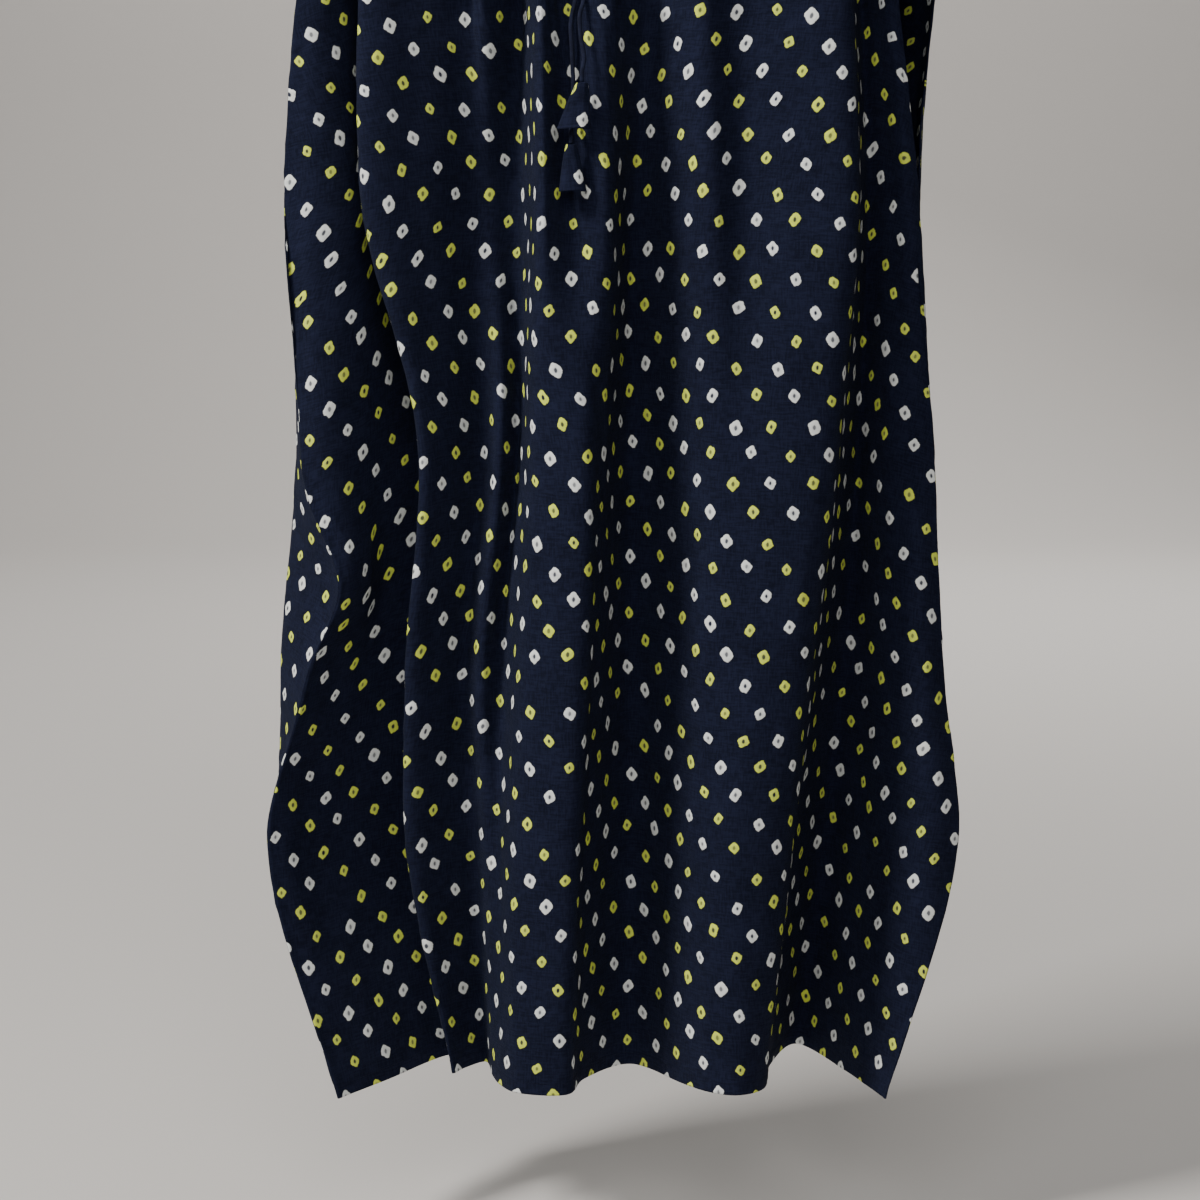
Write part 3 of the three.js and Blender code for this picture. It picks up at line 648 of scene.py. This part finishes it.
class KaftanLook(bpy.types.PropertyGroup):
    """Colours and dot pattern of the cotton."""

    navy: bpy.props.FloatVectorProperty(
        name="Navy", description="Dyed ground, lighter parts", subtype="COLOR",
        default=(0.0118, 0.0155, 0.0395))
    navy_deep: bpy.props.FloatVectorProperty(
        name="Deep navy", description="Dyed ground, darker parts", subtype="COLOR",
        default=(0.0053, 0.0071, 0.0183))
    white: bpy.props.FloatVectorProperty(
        name="White", description="White tied dots", subtype="COLOR", default=(0.9, 0.93, 0.92))
    yellow: bpy.props.FloatVectorProperty(
        name="Yellow-green", description="Yellow-green tied dots", subtype="COLOR",
        default=(0.8, 0.9, 0.11))
    # Bluish grey that the middle of each dot is mixed towards
    dot_middle_grey: bpy.props.FloatVectorProperty(
        name="Dot middle grey", description="Bluish grey towards the middle of a dot", subtype="COLOR", default=(0.2, 0.24, 0.27))
    row_step: bpy.props.FloatProperty(
        name="Row step", description="Drop from dot to dot", default=0.027, unit="LENGTH")
    row_gap: bpy.props.FloatProperty(
        name="Row gap", description="Distance between rows of dots", default=0.037, unit="LENGTH")
    wander: bpy.props.FloatProperty(
        name="Wander", description="How far dots stray from their rows", default=0.0065, unit="LENGTH")
    white_dot: bpy.props.FloatProperty(
        name="White dot", description="Width of a white dot", default=0.0142, unit="LENGTH")
    yellow_dot: bpy.props.FloatProperty(
        name="Yellow dot", description="Width of a yellow-green dot", default=0.0125, unit="LENGTH")
    thread: bpy.props.FloatProperty(
        name="Thread", description="Distance between threads", default=0.0006, unit="LENGTH")
    sheen: bpy.props.FloatProperty(
        name="Sheen", description="Soft shine of the cotton fibres", default=0.025, min=0.0, max=1.0)


class KaftanStage(bpy.types.PropertyGroup):
    """Camera, floor and light."""

    distance: bpy.props.FloatProperty(
        name="Camera distance", description="Distance to the middle of the view", default=2.8,
        unit="LENGTH")
    pitch: bpy.props.FloatProperty(
        name="Camera pitch", description="Angle below the horizon", default=0.15708, subtype="ANGLE")
    lens: bpy.props.FloatProperty(
        name="Lens", description="Focal length in millimetres", default=86.6)
    floor: bpy.props.FloatProperty(
        name="Floor height", description="Height of the floor", default=-1.62, unit="LENGTH")
    key: bpy.props.FloatProperty(name="Key light", description="Power of the main light", default=172.0)
    fill: bpy.props.FloatProperty(name="Fill light", description="Power of the soft fill", default=66.0)
    rear: bpy.props.FloatProperty(
        name="Rear light", description="Power of the soft light on the back", default=120.0)
    wall_light: bpy.props.FloatProperty(
        name="Wall light", description="Power of the light on the wall", default=85.0)
    sky: bpy.props.FloatProperty(
        name="Sky", description="Strength of the even light all round", default=0.035)


def panel(folds, cut, settings):
    """Fine middle surface of one panel with its cloth coordinates."""
    row = settings.row / MM
    stops = [WAIST_Z, CASING_BOTTOM, LEFT_SEAM_TOP, HIP_Z, HEM_Z + 16, HEM_Z + 13, HEM_Z + 1.5, HEM_Z]
    heights = even_rows(stops, row)
    bodice = [k / BODICE_ROWS for k in range(BODICE_ROWS)]
    points, cloth = panel_points(folds, cut, settings.cell / MM, bodice, np.array(heights))
    return points, cloth, np.array(heights)


def both_panels():
    """Both panels sewn at the sides, with shared edge points, normals and sewn rows."""
    settings = bpy.context.scene.kaftan_cloth
    front, front_cloth, heights = panel(FRONT_FOLDS, FRONT_CUT, settings)
    back, back_cloth, heights = panel(BACK_FOLDS, BACK_CUT, settings)
    rows = np.arange(len(front))
    z = np.concatenate([np.zeros(BODICE_ROWS), heights])
    left = rows[z <= LEFT_SEAM_TOP]
    right = rows[z <= HIP_Z + 0.1]
    back[right, 0] = front[right, -1]
    back[left, -1] = front[left, 0]
    front_n = grid_normals(front, (back[:, -2], left), (back[:, 1], right))
    back_n = grid_normals(back, (front[:, -2], right), (front[:, 1], left))
    for grid, normals in ((front, front_n), (back, back_n)):
        on_line = np.abs(grid[0, :, 1]) < ON_SHOULDER
        normals[0, on_line, 1] = 0
        normals[0] /= np.linalg.norm(normals[0], axis=-1, keepdims=True)
        normals[0, normals[0, :, 2] < 0] *= np.where(on_line[normals[0, :, 2] < 0], -1, 1)[:, None]
    return (front, front_n, front_cloth), (back, back_n, back_cloth), left, right


def settled(points, normals, cloth, sewn_first, sewn_last, flip):
    """One panel's cloth surface with its creases, gathers, seam puckers, edges and wall."""
    settings = bpy.context.scene.kaftan_cloth
    from_hem = np.flip(arc_lengths(np.flip(points, 0), 0), 0)
    anchor = int(np.argmin(np.abs(cloth)))
    across = arc_lengths(points, 1)
    across = (across - across[:, anchor:anchor + 1]) * flip
    near_waist = np.exp(-np.abs(points[..., 2] - WAIST_Z) / GATHER_FADE)
    middle = ease((GATHER_HALF - np.abs(points[..., 0])) / GATHER_EDGE) if flip > 0 else 0.0
    waves = np.sin(across * 0.62 + 2.2 * np.sin(across * 0.11))
    gathers = waves * GATHER_DEPTH * near_waist * middle
    side = np.broadcast_to(PANEL_WIDTH / 2 - np.abs(cloth), points.shape[:2])
    groove = SEAM_RIDGE * np.exp(-((side / 3.0) ** 2))
    groove -= SEAM_GROOVE * np.exp(-(((side - SEAM_GROOVE_IN) / 2.2) ** 2))
    columns = np.arange(points.shape[1])
    first_half = columns < len(columns) / 2
    sewn = np.zeros(points.shape[:2])
    sewn[np.ix_(sewn_first, columns[first_half])] = 1
    sewn[np.ix_(sewn_last, columns[~first_half])] = 1
    edge = HEM_STEP * ease((from_hem - 11) / 2) * ease((17 - from_hem) / 2)
    quiet = 1 - 0.75 * np.exp(-from_hem / 9)
    height = cloth_relief(points, settings.crease) * quiet + gathers + groove * sewn - edge
    moved = points + normals * height[..., None]
    moved[0] = points[0]
    for rows, here, inward in ((sewn_first, 0, 1), (sewn_last, -1, -2)):
        away = moved[rows, inward] - moved[rows, here]
        moved[rows, here] += away / np.linalg.norm(away, axis=-1, keepdims=True) * HALF_GAP
    on_line = np.abs(moved[0, :, 1]) < HALF_GAP
    moved[0, on_line, 1] = np.sign(points[1, on_line, 1]) * HALF_GAP
    from_neck = arc_lengths(points, 0)
    in_neck = np.abs(cloth) < NECK_HALF
    turned = ease((settings.hem_turn / MM - from_hem) / TURN_EDGE)
    turned = np.maximum(turned, ease((settings.cuff_turn / MM - side) / TURN_EDGE) * (1 - sewn))
    turned = np.maximum(turned, ease((settings.neck_turn / MM - from_neck) / TURN_EDGE) * in_neck)
    return {"points": moved, "normals": normals, "cloth": cloth, "side": side, "open": sewn < 0.5,
            "wall": settings.wall / MM + TURNED_EXTRA * turned, "from_hem": from_hem,
            "from_neck": from_neck, "uv": np.stack([across, -from_hem], axis=-1)}


def settled_panels():
    """Front and back panel with all their small forms."""
    front, back, left, right = both_panels()
    return settled(*front, left, right, 1), settled(*back, right, left, -1)


def read_grid(grid, rows, columns):
    """Values of a grid at fractional rows and columns."""
    r = np.clip(np.floor(rows).astype(int), 0, grid.shape[0] - 2)
    c = np.clip(np.floor(columns).astype(int), 0, grid.shape[1] - 2)
    down, over = (rows - r)[:, None], (columns - c)[:, None]
    upper = mix(grid[r, c], grid[r, c + 1], over)
    lower = mix(grid[r + 1, c], grid[r + 1, c + 1], over)
    return mix(upper, lower, down)


def on_outside(panel_data, rows, columns):
    """Points on the outer face of a panel and its normals, at fractional rows and columns."""
    normals = read_grid(panel_data["normals"], rows, columns)
    normals /= np.linalg.norm(normals, axis=-1, keepdims=True)
    walls = read_grid(panel_data["wall"][..., None], rows, columns)
    return read_grid(panel_data["points"], rows, columns) + normals * walls / 2, normals


def rows_where(values, target):
    """Fractional row of each column where falling values reach the target."""
    index = np.arange(values.shape[0], dtype=float)
    return np.array([np.interp(-target, -values[:, c], index) for c in range(values.shape[1])])


def stitch_lines(panel_data, settings):
    """Sewn lines of a panel: hem, neckline and the two open sleeve edges."""
    columns = np.arange(panel_data["points"].shape[1], dtype=float)
    last = columns[-1]
    lines = [(rows_where(panel_data["from_hem"], settings.hem_turn / MM - 2), columns)]
    neck = np.nonzero(np.abs(panel_data["cloth"]) < NECK_HALF)[0]
    neck_rows = rows_where(-panel_data["from_neck"][:, neck], 1.6 - settings.neck_turn / MM)
    lines.append((neck_rows, neck.astype(float)))
    for here in (0, -1):
        rows = np.nonzero(panel_data["open"][:, here])[0][3:].astype(float)
        inset = np.interp(settings.cuff_turn / MM - 1.6, panel_data["side"][0, :40], columns[:40])
        lines.append((rows, np.full(len(rows), inset if here == 0 else last - inset)))
    return [on_outside(panel_data, rows, over) for rows, over in lines]


def casing_surface(panel_data):
    """Middle surface of the gathered casing, over the front panel's waist, with its normals."""
    points, normals = panel_data["points"], panel_data["normals"]
    waist = points[int(np.argmin(np.abs(points[:, points.shape[1] // 2, 2] - WAIST_Z)))]
    columns = np.nonzero((waist[:, 0] >= CASING_SIDES[0]) & (waist[:, 0] <= CASING_SIDES[1]))[0]
    heights = np.linspace(CASING_TOP, CASING_BOTTOM, CASING_ROWS)
    rows = np.arange(len(points), dtype=float)
    strip, outward = [], []
    for z in heights:
        at = np.array([np.interp(-z, -points[:, c, 2], rows) for c in columns])
        strip.append(read_grid(points, at, columns.astype(float)))
        outward.append(read_grid(normals, at, columns.astype(float)))
    strip, outward = np.stack(strip), np.stack(outward)
    outward /= np.linalg.norm(outward, axis=-1, keepdims=True)
    share = np.linspace(0, 1, len(heights))[:, None]
    along = arc_lengths(strip, 1)
    puff = CASING_PUFF * np.sin(np.pi * share) ** 0.6
    puff = puff + 0.25 * np.sin(along * 1.3) * np.sin(np.pi * share)
    strip = strip + outward * (CASING_LIFT + puff)[..., None]
    return strip, outward, along, heights[:, None] - CASING_TOP


def stitches(name, lines, settings):
    """One mesh of short rounded stitches along lines of points with normals."""
    ends = np.array([-0.5, -0.3, 0.3, 0.5]) * settings.length / MM
    girth = np.array([0.3, 1.0, 1.0, 0.3]) * settings.thread / MM / 2
    sides = STITCH_SIDES
    angles = 2 * np.pi * np.arange(sides) / sides
    verts, faces = [], []
    for points, normals in lines:
        steps = np.concatenate([[0], np.cumsum(np.linalg.norm(np.diff(points, axis=0), axis=1))])
        at = np.arange(settings.spacing / MM, steps[-1] - 1, settings.spacing / MM)
        centre = np.stack([np.interp(at, steps, points[:, k]) for k in range(3)], axis=-1)
        ahead = np.stack([np.interp(at + 1, steps, points[:, k]) for k in range(3)], axis=-1)
        out = np.stack([np.interp(at, steps, normals[:, k]) for k in range(3)], axis=-1)
        along = ahead - centre
        along /= np.maximum(np.linalg.norm(along, axis=-1, keepdims=True), 1e-9)
        out -= along * np.sum(out * along, axis=-1, keepdims=True)
        out /= np.linalg.norm(out, axis=-1, keepdims=True)
        wide = np.cross(out, along)
        for c, t, n, w in zip(centre, along, out, wide):
            first = len(verts)
            for reach, radius in zip(ends, girth):
                middle = c + t * reach + n * STITCH_RAISE
                verts.extend(middle + radius * (np.cos(a) * w + np.sin(a) * n) for a in angles)
            for low in (first, first + sides, first + 2 * sides):
                for i in range(sides):
                    n = (i + 1) % sides
                    faces.append((low + i, low + n, low + sides + n, low + sides + i))
            faces.append(tuple(first + sides - 1 - i for i in range(sides)))
            faces.append(tuple(first + 3 * sides + i for i in range(sides)))
    return mesh_piece(name, np.array(verts), faces)


def mesh_piece(name, verts, faces, uv=None):
    """Object from points in millimetres, with cloth coordinates in millimetres per point."""
    mesh = bpy.data.meshes.new(name)
    faces = [tuple(int(i) for i in face) for face in faces]
    mesh.from_pydata((np.asarray(verts) * MM).tolist(), [], faces)
    if uv is not None:
        layer = mesh.uv_layers.new(name="cloth")
        loops = np.empty(len(mesh.loops), dtype=np.int64)
        mesh.loops.foreach_get("vertex_index", loops)
        layer.data.foreach_set("uv", (np.asarray(uv) * MM)[loops].ravel())
    mesh.shade_smooth()
    mesh.update()
    piece = bpy.data.objects.new(name, mesh)
    bpy.context.scene.collection.objects.link(piece)
    return piece


def through_bends(bends, steps):
    """Smooth centre line through the bends of a drawstring end."""
    points = np.array([(x, -out, z) for x, out, z in bends], float)
    points = np.concatenate([[2 * points[0] - points[1]], points, [2 * points[-1] - points[-2]]])
    line = []
    for a, b, c, d in zip(points[:-3], points[1:-2], points[2:-1], points[3:]):
        ab, bc, cd = (np.sqrt(np.linalg.norm(q - p)) for p, q in ((a, b), (b, c), (c, d)))
        leave = (b - a) / ab - (c - a) / (ab + bc) + (c - b) / bc
        arrive = (c - b) / bc - (d - b) / (bc + cd) + (d - c) / cd
        for k in range(steps):
            t = k / steps
            rise = t * t * (3 - 2 * t)
            line.append(mix(b, c, rise) + t * (1 - t) ** 2 * bc * leave + t * t * (t - 1) * bc * arrive)
    line.append(points[-2])
    return np.array(line)


def cloth_tube(name, line, seam_side):
    """Cloth tube along a centre line, a little flattened, with its sewn ridge and small tucks."""
    sides = TUBE_SIDES
    tangent = np.gradient(line, axis=0)
    tangent /= np.linalg.norm(tangent, axis=-1, keepdims=True)
    wide = np.cross(tangent, (0.0, -1.0, 0.0))
    wide /= np.linalg.norm(wide, axis=-1, keepdims=True)
    out = np.cross(wide, tangent)
    run = np.concatenate([[0], np.cumsum(np.linalg.norm(np.diff(line, axis=0), axis=1))])
    verts, faces = [], []
    for i, centre in enumerate(line):
        for k in range(sides):
            angle = 2 * np.pi * k / sides
            turn = angle - seam_side
            ridge = 0.3 * np.exp(-((np.arctan2(np.sin(turn), np.cos(turn)) / 0.3) ** 2))
            tuck = 0.14 * np.sin(run[i] * 1.5 + 1.7 * np.sin(run[i] * 0.37)) * np.cos(turn)
            radius = CORD_RADIUS - 0.22 + ridge + tuck
            way = np.cos(angle) * wide[i] + TUBE_FLATNESS * np.sin(angle) * out[i]
            verts.append(centre + radius * way)
    for i in range(len(line) - 1):
        for k in range(sides):
            n = (k + 1) % sides
            faces.append((i * sides + k, (i + 1) * sides + k, (i + 1) * sides + n, i * sides + n))
    faces.append(tuple(range(sides)))
    faces.append(tuple(range((len(line) - 1) * sides, len(line) * sides))[::-1])
    return mesh_piece(name, verts, faces)


def cloth_cone(name, shape, settings):
    """Hollow tassel of folded cloth: pleats from the neck, a turned edge at its mouth."""
    sides, rings = TASSEL_SIDES, TASSEL_RINGS
    wall = settings.tassel_wall / MM
    verts, uv = [], []
    shares = [k / rings for k in range(rings + 1)]
    rows = [(share, 0.0, 0.0) for share in shares]
    rows += [(share, wall, TASSEL_CAP * (1 - share)) for share in reversed(shares)]
    for share, inset, lift in rows:
        radius = mix(shape["neck"], shape["mouth"], share**TASSEL_FLARE)
        flat = mix(1, shape["flat"], min(1, 2 * share))
        down = shape["height"] * share
        from_edge = shape["height"] - down - TASSEL_STITCHES_UP
        line = -HEM_STEP * np.exp(-((from_edge / 0.5) ** 2)) if inset == 0 else 0.0
        for i in range(sides):
            angle = 2 * np.pi * i / sides
            pleat = np.sin(angle * TASSEL_PLEATS + 1.3 * np.sin(angle * 2))
            pleat = PLEAT_DEPTH * pleat * np.exp(-share * 2.6)
            bow = 0.5 * np.sin(angle * 3 + shape["x"]) * share**2
            swell = (pleat + bow) * min(1.0, 6 * share) + line - inset
            verts.append((shape["x"] + shape["lean"] * share + (radius + swell) * np.cos(angle),
                          -shape["out"] + (radius * flat + swell) * np.sin(angle),
                          shape["top"] - down - lift - 0.5 * np.sin(angle * 2 + 1) * share))
            round_front = ((angle + 1.5 * np.pi) % (2 * np.pi) - np.pi) * shape["mouth"] * 0.8
            uv.append((round_front - shape["dot"][0] - 18.5, shape["dot"][1] - down - 27))
    faces = []
    for r in range(len(rows) - 1):
        for i in range(sides):
            n = (i + 1) % sides
            faces.append((r * sides + i, (r + 1) * sides + i, (r + 1) * sides + n, r * sides + n))
    top, end = len(verts), len(verts) + 1
    for z in (shape["top"], shape["top"] - TASSEL_CAP):
        verts.append((shape["x"], -shape["out"], z))
        uv.append((9.0, 13.0))
    for i in range(sides):
        n = (i + 1) % sides
        faces.append((top, i, n))
        faces.append((end, (len(rows) - 1) * sides + n, (len(rows) - 1) * sides + i))
    return mesh_piece(name, verts, faces, uv)


# Operators
class KAFTAN_OT_panels(bpy.types.Operator):
    """Make the front and back panels with their wing sleeves, and the stitches on their edges"""

    bl_idname = "kaftan.panels"
    bl_label = "Panels"

    def execute(self, context):
        sewing = context.scene.kaftan_sewing
        lies_on = (("front", "waist_casing"), ("back", "front_cloth"))
        for data, (side, rest) in zip(settled_panels(), lies_on):
            surface = [data[name] for name in ("points", "normals", "wall", "uv")]
            piece = wall_mesh(side + "_cloth", *surface)
            finish_piece(piece, side + "_panel", cloth_material())
            lines = stitch_lines(data, context.scene.kaftan_cloth)
            thread = stitches(side + "_stitches", lines, sewing)
            finish_piece(thread, None, thread_material())
        return {"FINISHED"}


class KAFTAN_OT_casing(bpy.types.Operator):
    """Make the gathered casing across the front waist, with its two rows of stitches"""

    bl_idname = "kaftan.casing"
    bl_label = "Waist casing"

    def execute(self, context):
        settings, sewing = context.scene.kaftan_cloth, context.scene.kaftan_sewing
        points, normals, along, down = casing_surface(settled_panels()[0])
        uv = np.stack([along + 9, np.broadcast_to(down - 9, along.shape)], axis=-1)
        wall = settings.wall / MM
        piece = wall_mesh("casing_cloth", points, normals, wall, uv)
        finish_piece(piece, "waist_casing", cloth_material())
        lines = [(points[row] + normals[row] * wall / 2, normals[row]) for row in (1, -2)]
        thread = stitches("casing_stitches", lines, sewing)
        finish_piece(thread, None, thread_material())
        return {"FINISHED"}


class KAFTAN_OT_drawstring(bpy.types.Operator):
    """Make the two free drawstring ends and the cloth tassels on them"""

    bl_idname = "kaftan.drawstring"
    bl_label = "Drawstring and tassels"

    def execute(self, context):
        settings = context.scene.kaftan_cloth
        for letter, bends, shape, seam in (("a", CORD_A, TASSEL_A, 0.9), ("b", CORD_B, TASSEL_B, 2.2)):
            tassel = cloth_cone("tassel_" + letter + "_cloth", shape, settings)
            finish_piece(tassel, "tassel_" + letter, cloth_material())
            line = through_bends(bends, STEPS_PER_BEND)
            tube = cloth_tube("cord_" + letter, line, seam)
            finish_piece(tube, "drawstring_end_" + letter, cord_material())
        return {"FINISHED"}


class KAFTAN_OT_stage(bpy.types.Operator):
    """Set the camera, the pale floor and the soft lights"""

    bl_idname = "kaftan.stage"
    bl_label = "Stage"

    def execute(self, context):
        stage = context.scene.kaftan_stage
        aim = Vector(VIEW_MIDDLE)
        forward = Vector((0, np.cos(stage.pitch), -np.sin(stage.pitch)))
        data = bpy.data.cameras.new("camera")
        data.lens = stage.lens
        data.sensor_width = 36
        camera = bpy.data.objects.new("camera", data)
        camera.location = aim - forward * stage.distance
        camera.rotation_euler = (np.pi / 2 - stage.pitch, 0, 0)
        context.scene.collection.objects.link(camera)
        context.scene.camera = camera
        self.floor(stage.floor)
        wall = Vector(WALL_MIDDLE)
        self.light(context, "key", (-2.4, -1.45, 1.9), aim, 0.9, stage.key, (1.0, 0.97, 0.93))
        self.light(context, "fill", (-0.3, -3.2, 1.2), aim, 2.4, stage.fill, (1.0, 0.98, 0.95))
        self.light(context, "backdrop", (0.0, 3.4, 2.4), wall, 1.6, stage.wall_light, (1.0, 0.97, 0.94))
        self.light(context, "rear", (1.7, 4.6, 1.6), aim, 2.0, stage.rear, (1.0, 0.98, 0.95))
        world = bpy.data.worlds.new("studio")
        world.use_nodes = True
        sky = world.node_tree.nodes["Background"]
        sky.inputs["Color"].default_value = SKY_COLOUR
        sky.inputs["Strength"].default_value = stage.sky
        context.scene.world = world
        return {"FINISHED"}

    def floor(self, height):
        """Pale floor, a plane whose far edge is extruded up a curve into a wall."""
        bpy.ops.object.select_all(action="DESELECT")
        bpy.ops.mesh.primitive_plane_add(size=2)
        floor = bpy.context.object
        floor.name = "floor"
        for corner in floor.data.vertices:
            end = FLOOR_FRONT if corner.co.y < 0 else FLOOR_BACK
            corner.co = (FLOOR_HALF * corner.co.x, end, height)
        bpy.ops.object.mode_set(mode="EDIT")
        shape = bmesh.from_edit_mesh(floor.data)
        for edge in shape.edges:
            edge.select = all(corner.co.y > 0 for corner in edge.verts)
        shape.select_flush_mode()
        bmesh.update_edit_mesh(floor.data)
        bends = [np.pi / 2 * k / FLOOR_BENDS for k in range(FLOOR_BENDS + 1)]
        curve = [(FLOOR_RADIUS * np.sin(turn), FLOOR_RADIUS * (1 - np.cos(turn))) for turn in bends]
        curve.append((FLOOR_RADIUS, WALL_TOP - height))
        for here, there in zip(curve[:-1], curve[1:]):
            step = (0, there[0] - here[0], there[1] - here[1])
            bpy.ops.mesh.extrude_region_move(TRANSFORM_OT_translate={"value": step})
        bpy.ops.object.mode_set(mode="OBJECT")
        floor.data.shade_smooth()
        paint = Graph("pale_floor")
        paint.shader.inputs["Base Color"].default_value = FLOOR_COLOUR
        paint.shader.inputs["Roughness"].default_value = 0.9
        floor.data.materials.append(paint.material)

    def light(self, context, name, place, aim, size, power, colour):
        data = bpy.data.lights.new(name, "AREA")
        data.size = size
        data.energy = power
        data.color = colour
        lamp = bpy.data.objects.new(name, data)
        lamp.location = place
        lamp.rotation_euler = (aim - Vector(place)).to_track_quat("-Z", "Y").to_euler()
        context.scene.collection.objects.link(lamp)


class KAFTAN_PT_sidebar(bpy.types.Panel):
    """Lists the kaftan's operators and settings in the 3D view sidebar"""

    bl_idname = "KAFTAN_PT_sidebar"
    bl_label = "Kaftan"
    bl_space_type = "VIEW_3D"
    bl_region_type = "UI"
    bl_category = "Kaftan"

    def draw(self, context):
        scene = context.scene
        for operator in OPERATORS:
            self.layout.operator(operator.bl_idname)
        for settings in (scene.kaftan_cloth, scene.kaftan_sewing, scene.kaftan_look, scene.kaftan_stage):
            box = self.layout.box()
            for name in settings.__annotations__:
                box.prop(settings, name)


GROUPS = {"kaftan_cloth": KaftanCloth, "kaftan_sewing": KaftanSewing, "kaftan_look": KaftanLook,
          "kaftan_stage": KaftanStage}
OPERATORS = (KAFTAN_OT_stage, KAFTAN_OT_panels, KAFTAN_OT_casing, KAFTAN_OT_drawstring)
CLASSES = (*GROUPS.values(), *OPERATORS, KAFTAN_PT_sidebar)


def register():
    for entry in CLASSES:
        bpy.utils.register_class(entry)
    for name, group in GROUPS.items():
        setattr(bpy.types.Scene, name, bpy.props.PointerProperty(type=group))


def unregister():
    for name in GROUPS:
        delattr(bpy.types.Scene, name)
    for entry in reversed(CLASSES):
        bpy.utils.unregister_class(entry)


def main():
    register()
    bpy.ops.kaftan.stage()
    bpy.ops.kaftan.panels()
    bpy.ops.kaftan.casing()
    bpy.ops.kaftan.drawstring()


if __name__ == "__main__":
    main()
